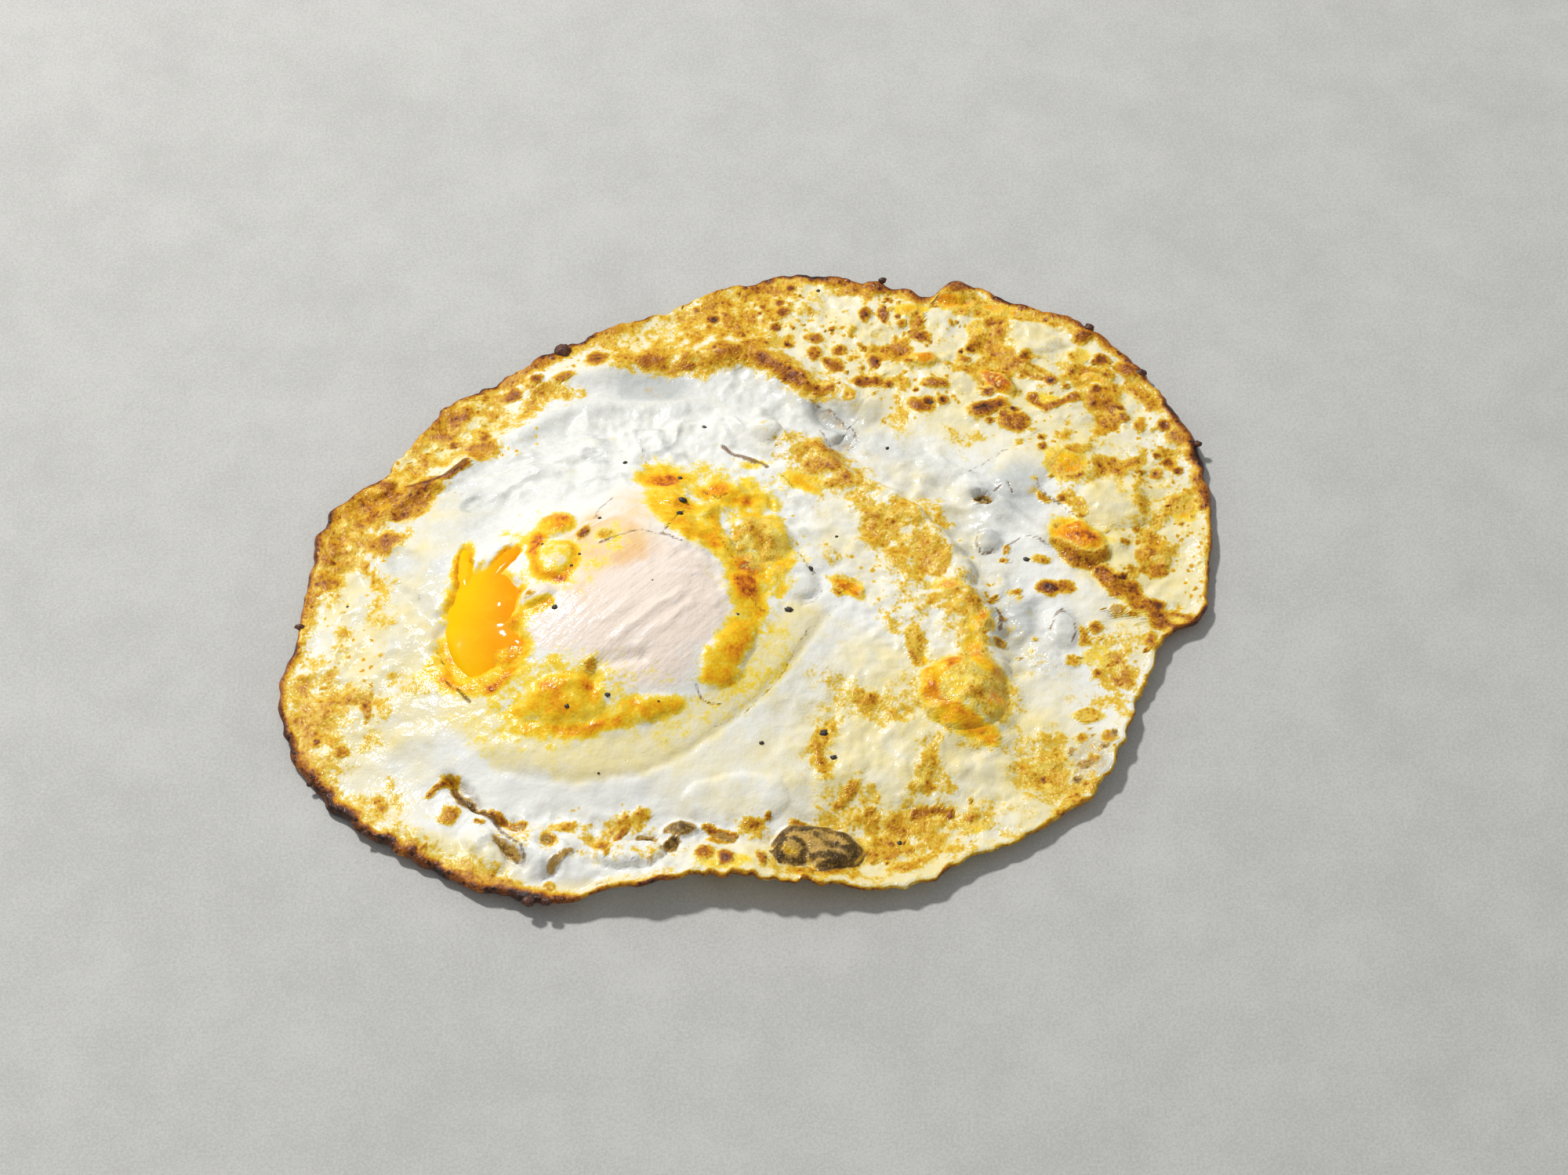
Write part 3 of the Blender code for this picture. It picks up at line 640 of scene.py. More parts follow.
# Where small golden flecks are strewn over the white.
FLECKED = patches(
    (24, 30, 10, 8, 0.7, -20), (-34, 22, 12, 7, 0.5, 40), (-46, -20, 9, 12, 0.4), (8, -28, 8, 6, 0.32),
    (1, 6, 8, 12, 0.6), (-24, -28, 12, 5, 0.36), (-14, -39.6, 20, 3, 0.5), (36, -4, 6, 12, 0.3),
)

# Where the yolk shines deepest through the film.
EMBER = lines(
    (0.45, 0.6, (-0.6, -6), (1, -3.4), (3.2, -0.6)),
    (0.7, 0.6, (0.6, -15.4), (-1.2, -18.2)),
    (0.6, 1.1, (-28.4, -3.6), (-27.6, -5.6), (-26.2, -7.2), (-24.4, -7.8)),
    (0.55, 1, (-29.9, -8), (-28.8, -8.5)),
    (0.6, 0.6, (-34.6, -16.6), (-32.6, -15.4), (-30.6, -15)),
    (0.7, 0.95, (-33.4, -22), (-30.6, -21.2), (-28.8, -19)),
    (0.7, 0.95, (-20.2, -19.6), (-20.4, -21.4), (-21, -23.4)),
) + patches(
    (-11.4, 11.2, 2.4, 1.5, 0.9), (-9.4, 4.6, 1.5, 2.8, 1), (-12.8, 6.4, 0.8, 1.8, 0.6, 15),
    (-4.4, 9.4, 2.2, 1.2, 0.7), (-1.2, 8, 1.8, 0.8, 0.7, 20), (-5.8, 0.2, 2, 0.9, 0.7, -15),
    (-1.2, -3.2, 2.2, 1, 0.95, -30), (-0.4, -7, 1.3, 1.9, 0.85), (0.4, -10.6, 1.5, 1.1, 0.6),
    (-1.5, -13.2, 1.1, 1.1, 0.6), (-4, -20.9, 2, 0.9, 0.65), (-25.4, 2, 2, 1.4, 0.55, 10),
    (-28.4, -1.6, 0.9, 1.7, 0.8), (-29.6, -11.6, 1.2, 0.8, 0.5, 20), (-25.8, -23.2, 1.8, 1, 0.75, -20),
    (-29, -25.6, 1.4, 1, 0.4), (-18, -27.8, 1.6, 0.8, 0.45),
)

# Where the film has drawn back and the yolk itself lies open.
OPEN_YOLK = lines(
    (1.4, 1, (-31.4, -1.8), (-33.6, -4.2), (-35.2, -7)),
) + patches(
    (-37.7, -2.8, 1.4, 4.2, 1), (-35, -9.6, 4.9, 6.2, 1), (-35.4, -15, 5.2, 5, 1),
    (-37, -18.2, 3, 2.2, 0.8), (-30.8, -17, 3.1, 2.8, 1),
)

# Thin dark lines along folds and torn edges.
CREASES = lines(
    (0.9, 1, (-3.6, 18.6), (-2.2, 17.2), (-0.6, 16.4), (1.6, 15.9), (2.4, 14.8)),
    (0.8, 0.68, (5.8, 1), (7.4, -1.8), (8.7, -4.4), (9.2, -6), (8.2, -7.8), (6.6, -8.5)),
    (0.8, 0.8, (-8.6, 5.6), (-9.4, 3.8), (-10.2, 2.2), (-11.2, 0.4)),
    (0.7, 0.78, (-19.6, -2), (-17, -0.6), (-14.6, 0), (-11.4, 0), (-8.8, -1.2)),
    (0.8, 0.7, (-20.2, 3), (-19.9, 4.8), (-17.8, 6.8)),
    (0.7, 0.6, (-21, -8.2), (-20, -10.2)),
    (0.7, 0.62, (-19.4, -12.8), (-17.6, -11), (-16.8, -9.8)),
    (0.8, 0.75, (-6.7, -22.2), (-6, -23.8), (-4.8, -24.5), (-3.4, -24.3)),
    (0.8, 0.62, (11.2, -8.2), (8.8, -11.6), (6.4, -14.8), (4.2, -18.8), (1.6, -22.6), (-0.8, -25.4),
     (-5, -27.8)),
    (0.7, 0.56, (-6, -28.6), (-12, -30.6), (-18, -33.8)),
    (0.8, 0.85, (-38.8, -20.4), (-37.2, -22), (-35.8, -23.8)),
    (0.8, 0.8, (-40.6, -15.4), (-39.8, -17), (-39.2, -17.6)),
    (0.8, 0.75, (4.2, 13.9), (5.2, 12.8), (5.9, 11.8)),
    (0.8, 0.7, (2, 19.2), (3.6, 18.2), (5.2, 17.9)),
    (0.7, 0.66, (-14.2, 17.4), (-14.4, 15.8), (-13.8, 14.2)),
    (0.8, 0.8, (-6.6, 9.6), (-4.4, 8), (-2.6, 9)),
    (0.8, 0.75, (-4.6, 1), (-3, -1.4), (-1.8, -3)),
    (0.7, 0.7, (-0.4, -7.8), (0.6, -9.4), (2, -10.8)),
    (0.8, 0.75, (32.4, 12.4), (34.4, 14), (35.6, 12.2)),
    (0.8, 0.75, (38.6, 14), (39.6, 11.6), (41, 10.4)),
    (0.8, 0.62, (-47.6, -3.4), (-44, -5), (-42.6, -9.4), (-40.8, -11.6)),
    (0.7, 0.58, (-34, 25), (-28, 26.4), (-20, 27), (-11, 26.6)),
    (0.9, 1, (-38.6, 17.4), (-40.6, 15.4), (-42.6, 14.2)),
    (0.9, 1, (-37.6, -34.2), (-36.6, -36.2), (-34, -38.2), (-31.8, -39.8)),
    (0.8, 0.8, (-31.4, -42.8), (-29.6, -44.4), (-28.2, -46)),
    (0.8, 0.8, (6, -46.4), (9.6, -46.8), (13.8, -45.6), (15, -43.4)),
    (0.8, 0.7, (3.2, -42), (6.4, -40.4), (10.6, -40.4)),
    (0.7, 0.6, (44.6, 2), (43, 4.6), (43.4, 7)),
    (0.7, 0.75, (34, 1.2), (34.4, 3.4), (36, 4.8), (38.2, 4.6), (39.8, 3.2)),
    (0.8, 0.68, (38.8, 13.8), (40.6, 11.2), (42.8, 8.8), (45, 7.4), (48, 6.6), (51.4, 6.8)),
    (0.7, 0.68, (29, 15.4), (31.6, 18), (34, 19.8), (36.6, 19)),
    (0.8, 1, (32.6, -7.2), (33.3, -8.6), (33, -10)),
    (0.7, 0.75, (38.8, -9.6), (39.6, -7.6), (41.4, -6.8), (42.6, -8.4), (42.4, -12)),
    (0.7, 0.8, (30.4, 5.8), (29.8, 4), (30.8, 2.4), (32.6, 2.6)),
    (0.7, 0.75, (8, 28.6), (11, 26.4), (13.6, 23.4), (15, 21)),
    (0.7, 0.75, (9, 23), (11.4, 20.4), (14, 20.6)),
    (0.7, 0.6, (-42, 12.6), (-38.6, 11), (-37, 7.4), (-35.4, 9.4)),
    (0.7, 0.85, (-33.4, -38.4), (-31, -41), (-28.4, -43.6), (-27.8, -45.4)),
    (0.7, 0.6, (-17, -45.8), (-12, -42.6), (-8, -43), (-6.6, -45.2)),
)

# Where the white is crumpled.
WRINKLED = patches(
    (-20, 17, 20, 8, 1, 20), (6, 27, 16, 6, 0.9, -30), (26, 12, 12, 7, 0.9, -50), (34, -10, 8, 10, 0.8),
    (22, -28, 20, 16, 0.4), (30, 36, 34, 13, 0.6, -22), (50, 6, 12, 20, 0.6), (-52, -4, 10, 24, 0.7),
    (-20, -43, 24, 5, 0.9), (0, 4, 12, 10, 0.8),
)

# Where the fat that fried the white has pebbled it.
PEBBLED = patches(
    (22, -4, 12, 22, 1, 25), (24, -30, 18, 14, 0.7), (-2, 2, 10, 14, 1), (-24, -26, 10, 5, 0.8),
    (28, 38, 34, 12, 0.7, -22), (52, 10, 9, 22, 0.7, 10), (-46, 16, 14, 10, 0.7, 45),
    (8.8, -43.2, 5.4, 2.9, 0.4, -8),
)

# Where small bubbles have burst, and how thickly.
FRECKLED = patches(
    (27, 37, 33, 12, 0.8, -22), (51, 14, 10, 22, 0.6, 14), (-6, 43, 14, 4, 0.55, 18),
    (-36, 26, 12, 3.5, 0.35, 42), (-54, 2, 4, 11, 0.25), (-55, -24, 4, 10, 0.22, 10), (45, -12, 7, 7, 0.4),
    (43, -30, 4, 5, 0.75, -30), (18, -42, 14, 4.5, 0.2, 10), (34, -8, 4, 8, 0.22), (-16, -4, 12, 8, 0.05),
)

# Stretches of the rim that are burnt dark.
CHARRED = lines(
    (3, 1, (-58, -28), (-52, -37), (-44, -43.6), (-30, -50), (-24, -51.2)),
    (2.5, 0.6, (-61, -20), (-60, -14)),
    (2.5, 0.5, (-57.5, 3), (-52, 13)),
    (2.5, 0.35, (-42, 26), (-32, 33), (-20, 40.4)),
    (2.5, 0.75, (26, 48.4), (30, 50), (36, 46.6), (46, 42.4), (54, 34)),
    (2.5, 0.8, (58, 27), (60.4, 19)),
    (2.5, 0.5, (2, 50.4), (12, 51.4), (19, 49.4)),
    (2, 0.4, (52, -11.6), (59, -8)),
)

# Stretches of the rim that have stayed pale.
PALE_RIM = lines(
    (4, 1, (52, -13), (47.6, -28), (42.6, -35)),
    (4, 1, (38, -40), (28, -45.2), (14, -49.6), (4, -48.9)),
    (4, 0.8, (-18, -49.6), (-6, -48), (4, -48.8)),
    (3, 0.7, (59.6, 8), (59.6, -4)),
    (2, 0.3, (36, 47), (45, 42.6)),
    (3, 0.5, (-16, 43), (-4, 48)),
    (3, 0.6, (-47, 20), (-47, 16)),
)

# Pepper specks, as their places and half sizes.
PEPPER = (
    (-6.4, 22.0, 0.42), (-16.8, 14.0, 0.30), (-9.5, 11.8, 0.36), (-9.1, 6.6, 0.60), (-9.4, 4.0, 0.46),
    (-19.8, 2.7, 0.30), (7.8, -2.6, 0.42), (5.0, -9.6, 0.58), (-25.1, -12.1, 0.40), (-18.1, -24.2, 0.34),
    (-23.2, -25.8, 0.36), (9.5, -27.1, 0.60), (10.8, -30.7, 0.42), (1.5, -29.2, 0.34), (18.4, 19.9, 0.30),
    (24.6, 27.8, 0.46), (36.6, 1.4, 0.40), (-19.1, -34.0, 0.20), (11.4, 3.5, 0.28), (35.6, 26.9, 0.34),
    (-1.6, -11.7, 0.20), (-11.6, -24.9, 0.20), (9.2, 48.2, 0.30), (-53.0, -6.4, 0.20), (19.0, -42.0, 0.34),
    (-12.6, -8.3, 0.14), (-22.2, -3.8, 0.26), (-23.2, -5.7, 0.24), (-27.2, -1.3, 0.22),
)

# Crumbs of burnt crust on the rim, as their places and half sizes.
CRUMBS = (
    (-26.3, 37.2, 1.0), (-48.4, -40.8, 0.5), (46.8, 41.2, 0.7), (53.6, 33.4, 0.6), (-59.2, -9.0, 0.55),
    (18.2, 49.6, 0.6), (-27.5, -51.0, 0.8), (-25.2, -51.2, 0.7), (60.6, 20.8, 0.5), (-56.2, -33.2, 0.45),
)


# ---------------------------------------------------------------------------------------------------------
# The shape of the egg


@dataclass(frozen=True)
class Freckles:
    """Small burst bubbles, thick in some places and rare in others."""

    seed: int = 7
    tries: int = 3200
    smallest: float = 0.2
    largest: float = 1.0
    rareness: float = 2.6
    brown: float = 0.68
    brown_spread: float = 0.26
    lip: float = 0.16
    dip: float = 0.22
    places: tuple[Patch, ...] = FRECKLED

    def spots(self) -> Array:
        """The spots' middles and radii, one row each.

        Returns:
            The rows, in the order in which they were drawn.
        """
        rng = np.random.default_rng(self.seed)
        x = rng.uniform(-60.0, 61.0, self.tries)
        y = rng.uniform(-50.0, 51.0, self.tries)
        wanted = covered(self.places, x, y, 0.3) > rng.uniform(0.0, 1.0, self.tries)
        growth = rng.uniform(0.0, 1.0, self.tries) ** self.rareness
        size = self.smallest + (self.largest - self.smallest) * growth
        return np.stack([x, y, size], axis=1)[wanted]

    def stamp(self, x: Array, y: Array) -> tuple[Array, Array]:
        """How the freckles change the skin.

        Args:
            x: first coordinates of its points.
            y: second coordinates of its points.

        Returns:
            How brown each point gets, and how far it rises.
        """
        brown, rise = np.zeros_like(x), np.zeros_like(x)
        for spot_x, spot_y, size in self.spots():
            near = (np.abs(x - spot_x) < 2 * size) & (np.abs(y - spot_y) < 2 * size)
            reach = np.hypot(x[near] - spot_x, y[near] - spot_y) / size
            strength = self.brown + self.brown_spread * math.sin(91.7 * spot_x + 13.1 * spot_y)
            brown[near] = np.maximum(brown[near], strength * (1.0 - ease(0.45, 1.7, reach)))
            lip = self.lip * np.exp(-((reach - 1.0) / 0.3) ** 2)
            rise[near] += size * (lip - self.dip * np.exp(-(reach / 0.7) ** 2))
        return brown, rise


@dataclass(frozen=True)
class EggForm:
    """The height of the egg's two sides over the table, everywhere inside its rim."""

    rim_thickness: float = 1.0
    lace_thickness: float = 2.0
    body_thickness: float = 4.3
    skirt_rise: float = 1.6
    skirt_width: float = 6.0
    soft_edge: float = 0.2
    lip_edge: float = 0.045
    lip_middle: float = 42.0
    lip_span: float = 62.0
    flat_share: float = 0.82
    crimp: float = 0.42
    ripple: float = 0.3
    ripple_count: int = 17
    lift_drift: float = 0.22
    skirt_foot: float = 21.6
    dome_radius: float = 24.5
    dome_foot: float = 4.4
    dome_top: float = 11.4
    round_off: float = 0.5
    mark_drift: float = 0.35
    swell: float = 0.4
    crumple: float = 0.5
    ridge: float = 0.4
    lace_sink: float = 0.3
    pebble: float = 0.26
    rim_calm: float = 0.6
    freckles: Freckles = Freckles()

    def rim_radius(self, angle: Array, share: Array) -> Array:
        """How far out a point lies, with the rim's own small crimps.

        Args:
            angle: the angles round the egg's middle.
            share: 0 at the middle and 1 on the rim.

        Returns:
            The distances from the egg's middle.
        """
        way = RIM.radius(angle)
        u, v = 60.0 * np.cos(angle), 60.0 * np.sin(angle)
        crimp = self.crimp * cloud(u, v, 7.0, 3, 2) + self.crimp * cloud(u, v, 2.2, 5, 2)
        return share * way + crimp * ease(0.9, 1.0, share)

    def under(self, x: Array, y: Array, share: Array) -> Array:
        """The underside: flat in the middle, and curled up towards the rim.

        Args:
            x: first coordinates.
            y: second coordinates.
            share: 0 at the egg's middle and 1 on its rim.

        Returns:
            The heights over the table.
        """
        angle = np.degrees(np.arctan2(y, x)) % 360
        degrees, lifts = zip(*RIM_LIFT)
        lift = np.interp(angle, degrees, lifts, period=360)
        turn = np.radians(angle)
        lift = lift + self.ripple * np.sin(turn * self.ripple_count + 1.5 * np.sin(turn * 3))
        lift = lift + self.lift_drift * cloud(x, y, 5.0, 11, 2)
        curl = ease(self.flat_share, 1.08, share) / ease(self.flat_share, 1.08, 1.0)
        return np.maximum(0.0, lift) * curl**1.4

    def thickness(self, x: Array, y: Array, share: Array) -> Array:
        """How thick the sheet of white is, without its folds and bubbles.

        Args:
            x: first coordinates.
            y: second coordinates.
            share: 0 at the egg's middle and 1 on its rim.

        Returns:
            The thickness at each point.
        """
        dx, dy = x - YOLK_MIDDLE[0], y - YOLK_MIDDLE[1]
        outside = np.maximum(0.0, np.hypot(dx, dy) - self.skirt_foot)
        thin = self.lace_thickness + (self.rim_thickness - self.lace_thickness) * ease(0.82, 1.0, share)
        off_lip = np.abs((np.degrees(np.arctan2(dy, dx)) - self.lip_middle + 180) % 360 - 180)
        edge = self.lip_edge + (self.soft_edge - self.lip_edge) * ease(
            self.lip_span * 0.7, self.lip_span * 1.3, off_lip
        )
        way = BODY.share(x, y) + 0.03 * cloud(x, y, 4.0, 21, 2)
        inside = 1.0 - ease(1.0 - edge, 1.0 + edge * 0.4, way)
        thick = thin + (self.body_thickness - thin) * inside
        return thick + self.skirt_rise * np.exp(-((outside / self.skirt_width) ** 2))

    def dome(self, x: Array, y: Array) -> Array:
        """The yolk's own dome, steeper on the near side than on the far one.

        Args:
            x: first coordinates.
            y: second coordinates.

        Returns:
            The heights over the table.
        """
        dx, dy = x - YOLK_MIDDLE[0], y - YOLK_MIDDLE[1]
        out = np.hypot(dx, dy) / self.dome_radius
        power = 1.05 + 0.22 * np.sin(np.arctan2(dy, dx))
        inside = np.clip(1.0 - out**2, 0.0, 1.0) ** power
        return self.dome_foot + (self.dome_top - self.dome_foot) * inside - 6.0 * np.maximum(0.0, out - 1.0)

    def smooth_top(self, x: Array, y: Array, share: Array) -> Array:
        """The upper side, without folds and bubbles.

        Args:
            x: first coordinates.
            y: second coordinates.
            share: 0 at the egg's middle and 1 on its rim.

        Returns:
            The heights over the table.
        """
        white = self.under(x, y, share) + self.thickness(x, y, share)
        dome = self.dome(x, y)
        return 0.5 * (white + dome + np.sqrt((white - dome) ** 2 + 1.2))

    def top(self, x: Array, y: Array, share: Array) -> Array:
        """The upper side with all that stands on it.

        Args:
            x: first coordinates.
            y: second coordinates.
            share: 0 at the egg's middle and 1 on its rim.

        Returns:
            The heights over the table.
        """
        u, v = drifted(x, y, 2.6, 31, self.mark_drift, 2)
        crumpled = covered(WRINKLED, x, y, 0.4)
        rise = np.zeros_like(x)
        for fold in FOLDS:
            rise = rise + fold.rise(u, v)
        for blister in BLISTERS:
            rise = rise + blister.dome(u, v)
        for hollow in HOLLOWS:
            rise = rise - hollow.cover(u, v, 0.3)
        rise = rise + self.swell * cloud(x, y, 13.0, 41, 2)
        rise = rise + self.crumple * crumpled * cloud(x, y, 3.2, 43, 4)
        rise = rise + self.ridge * crumpled * ridges(x, y, 3)
        rise = rise - self.lace_sink * covered(LACE, u, v, 0.5) * laciness(x, y)
        rise = rise + self.pebble * covered(PEBBLED, x, y, 0.4) * cloud(x, y, 1.5, 45, 2)
        rise = rise + self.freckles.stamp(x, y)[1]
        rise = rise * (1.0 - self.rim_calm * ease(0.93, 1.0, share))
        return self.smooth_top(x, y, share) + rise

    def rounded(self, heights: Array, under: Array, edge: Array) -> Array:
        """The upper side brought down to the middle of the sheet over its last stretch to the rim.

        Args:
            heights: the upper side's heights.
            under: the underside's heights.
            edge: the distances to the rim.

        Returns:
            The new heights.
        """
        near = np.clip(1.0 - edge / self.round_off, 0.0, 1.0)
        return under + (heights - under) * (0.45 + 0.55 * np.sqrt(1.0 - near**2))


# ---------------------------------------------------------------------------------------------------------
# Finishes


def linear(colour: Colour) -> tuple[float, float, float, float]:
    """A colour named by its screen values from 0 to 255, as light.

    Args:
        colour: red, green and blue.

    Returns:
        Red, green and blue as light, and a full share of it.
    """
    shares = [value / 255.0 for value in colour]
    light = [s / 12.92 if s <= 0.04045 else ((s + 0.055) / 1.055) ** 2.4 for s in shares]
    return light[0], light[1], light[2], 1.0


class Bench:
    """Makes one material's nodes and joins them."""

    def __init__(self, name: str) -> None:
        """Starts a material that holds one Principled shader.

        Args:
            name: the material's name.
        """
        self.material = bpy.data.materials.new(name)
        self.material.use_nodes = True
        self.tree = self.material.node_tree
        self.shader = self.tree.nodes["Principled BSDF"]
        self.place = self.tree.nodes.new("ShaderNodeTexCoord").outputs["Object"]

    def give(self, socket: Socket, value: object) -> None:
        """Joins a socket to another, or sets it to a value.

        Args:
            socket: the socket that takes it.
            value: another socket, a number or a colour.
        """
        if isinstance(value, Socket):
            self.tree.links.new(value, socket)
        else:
            socket.default_value = value

    def attribute(self, name: str) -> Socket:
        """A share painted on the mesh.

        Args:
            name: the name of the paint.

        Returns:
            The share.
        """
        node = self.tree.nodes.new("ShaderNodeAttribute")
        node.attribute_name = name
        return node.outputs["Fac"]

    def noise(self, size: float, detail: float, roughness: float, shift: float = 0.0) -> Socket:
        """Noise whose lumps are a number of millimetres wide.

        Args:
            size: the width of its largest lumps.
            detail: how many finer layers it has.
            roughness: how strong each finer layer is.
            shift: which noise, so that two of them differ.

        Returns:
            The noise, around a half.
        """
        node = self.tree.nodes.new("ShaderNodeTexNoise")
        node.noise_dimensions = "4D"
        node.inputs["Scale"].default_value = 1.0 / (size * MM)
        node.inputs["Detail"].default_value = detail
        node.inputs["Roughness"].default_value = roughness
        node.inputs["W"].default_value = shift
        self.tree.links.new(self.place, node.inputs["Vector"])
        return node.outputs["Fac"]

    def streaks(self, size: float, turn: float, stretch: float) -> Socket:
        """Noise drawn out into streaks.

        Args:
            size: how wide the streaks are, in millimetres.
            turn: which way they run, in degrees from x.
            stretch: their width as a share of their length.

        Returns:
            The noise.
        """
        turned = self.tree.nodes.new("ShaderNodeMapping")
        turned.vector_type = "TEXTURE"
        turned.inputs["Rotation"].default_value = (0.0, 0.0, math.radians(turn))
        turned.inputs["Scale"].default_value = (1.0 / stretch, 1.0, 1.0)
        self.tree.links.new(self.place, turned.inputs["Vector"])
        node = self.tree.nodes.new("ShaderNodeTexNoise")
        node.inputs["Scale"].default_value = 1.0 / (size * MM)
        self.tree.links.new(turned.outputs["Vector"], node.inputs["Vector"])
        return node.outputs["Fac"]

    def cells(self, size: float) -> Socket:
        """The distance to the nearest of points scattered a number of millimetres apart.

        Args:
            size: how far apart the points lie.

        Returns:
            The distance, as a share of that size.
        """
        node = self.tree.nodes.new("ShaderNodeTexVoronoi")
        node.inputs["Scale"].default_value = 1.0 / (size * MM)
        self.tree.links.new(self.place, node.inputs["Vector"])
        return node.outputs["Distance"]

    def maths(self, kind: str, *values: object) -> Socket:
        """One sum on numbers or sockets.

        Args:
            kind: what is worked out.
            values: the numbers or sockets that it takes.

        Returns:
            The result.
        """
        node = self.tree.nodes.new("ShaderNodeMath")
        node.operation = kind
        for socket, value in zip(node.inputs, values):
            self.give(socket, value)
        return node.outputs[0]

    def step(self, value: object, low: float, high: float, start: float = 0.0, end: float = 1.0) -> Socket:
        """A smooth step from start to end as value goes from low to high.

        Args:
            value: the value that is stepped over.
            low: where the step begins.
            high: where it ends.
            start: the result below low.
            end: the result above high.

        Returns:
            The result.
        """
        node = self.tree.nodes.new("ShaderNodeMapRange")
        node.interpolation_type = "SMOOTHSTEP"
        for socket, item in zip(node.inputs, (value, low, high, start, end)):
            self.give(socket, item)
        return node.outputs[0]

    def blend(self, share: object, first: object, second: object) -> Socket:
        """Two colours mixed.

        Args:
            share: how much of the second colour there is.
            first: a colour or a socket.
            second: a colour or a socket.

        Returns:
            The mixed colour.
        """
        node = self.tree.nodes.new("ShaderNodeMix")
        node.data_type = "RGBA"
        self.give(node.inputs[0], share)
        self.give(node.inputs[6], linear(first) if isinstance(first, tuple) else first)
        self.give(node.inputs[7], linear(second) if isinstance(second, tuple) else second)
        return node.outputs[2]

    def frayed(self, share: Socket, by: Socket, amount: float) -> Socket:
        """A share with so much of a noise added, which frays the edges of what is painted."""
        return self.maths("MULTIPLY_ADD", by, amount, share)

    def ramp(self, value: object, low: float, high: float, steps: Steps) -> Socket:
        """Colours read off a scale, for a value between low and high.

        Args:
            value: the value.
            low: the value that reads the first colour.
            high: the value that reads the last.
            steps: the places from 0 to 1 and their colours.

        Returns:
            The colour.
        """
        node = self.tree.nodes.new("ShaderNodeValToRGB")
        scale = node.color_ramp
        for place, colour in steps[1:-1]:
            scale.elements.new(place).color = linear(colour)
        scale.elements[0].color = linear(steps[0][1])
        scale.elements[-1].color = linear(steps[-1][1])
        share = self.maths("DIVIDE", self.maths("SUBTRACT", value, low), high - low)
        self.tree.links.new(share, node.inputs["Fac"])
        return node.outputs["Color"]

    def bump(self, height: Socket, depth: float, before: Socket | None = None) -> Socket:
        """Fine relief, a number of millimetres high.

        Args:
            height: the relief, as a share of its depth.
            depth: how high it stands.
            before: a relief that it is laid on.

        Returns:
            The relief, for a shader.
        """
        node = self.tree.nodes.new("ShaderNodeBump")
        node.inputs["Distance"].default_value = depth * MM
        self.give(node.inputs["Height"], height)
        if before is not None:
            self.give(node.inputs["Normal"], before)
        return node.outputs["Normal"]

    def finish(self, **sockets: object) -> bpy.types.Material:
        """The material, with the shader's sockets joined or set.

        Args:
            sockets: the shader's sockets by name, with their values.

        Returns:
            The finished material.
        """
        for name, value in sockets.items():
            self.give(self.shader.inputs[name.replace("_", " ").title().replace("Ior", "IOR")], value)
        return self.material


# How fried white browns, from pale cream to black, as steps of a share from 0 to 1.
TOASTING: Steps = (
    (0.0, (247, 229, 148)),
    (0.16, (238, 202, 70)),
    (0.32, (224, 168, 24)),
    (0.46, (200, 132, 10)),
    (0.6, (168, 96, 6)),
    (0.74, (122, 62, 7)),
    (0.88, (72, 35, 8)),
    (1.0, (32, 16, 7)),
)

# How the yolk shines through its film, from pale to deep, and browned at the end.
SUNNY: Steps = (
    (0.0, (252, 235, 150)),
    (0.18, (254, 220, 64)),
    (0.38, (254, 198, 6)),
    (0.58, (246, 164, 0)),
    (0.76, (214, 114, 0)),
    (0.9, (146, 66, 3)),
    (1.0, (92, 38, 5)),
)


class WhiteBench(Bench):
    """The white's own bench, with the tints painted on its mesh and the noises that fray them."""

    def __init__(self, name: str) -> None:
        """Reads the tints and makes the noises.

        Args:
            name: the material's name.
        """
        super().__init__(name)
        self.tints = {tint: self.attribute(tint.value) for tint in Tint}
        fine = self.noise(0.4, 2.0, 0.6)
        middle = self.noise(1.3, 3.0, 0.6, 3.0)
        broad = self.noise(4.0, 3.0, 0.5, 7.0)
        coarse, close = self.maths("MULTIPLY", middle, 0.6), self.maths("MULTIPLY", fine, 0.4)
        self.ragged = self.maths("ADD", coarse, close)
        self.loose = self.maths("SUBTRACT", self.ragged, 0.5)
        self.patchy = self.maths("SUBTRACT", broad, 0.5)
        pits = self.step(self.cells(0.9), 0.1, 0.45)
        self.pitted = self.maths("MULTIPLY", self.maths("SUBTRACT", 0.5, pits), self.tints[Tint.ROUGH])
        self.dots = self.step(self.frayed(self.cells(1.3), self.loose, -0.9), 0.14, 0.34, 1.0, 0.0)
        streaks = self.streaks(0.8, 45.0, 0.12)
        self.streaky = self.maths("MULTIPLY", streaks, self.step(broad, 0.35, 0.6, 0.7, 1.0))
        self.creamy = self.frayed(self.frayed(self.tints[Tint.CREAM], self.patchy, 1.2), self.loose, 0.4)
        self.thread = self.step(self.frayed(self.tints[Tint.CREASE], self.loose, 0.7), 0.5, 0.8)


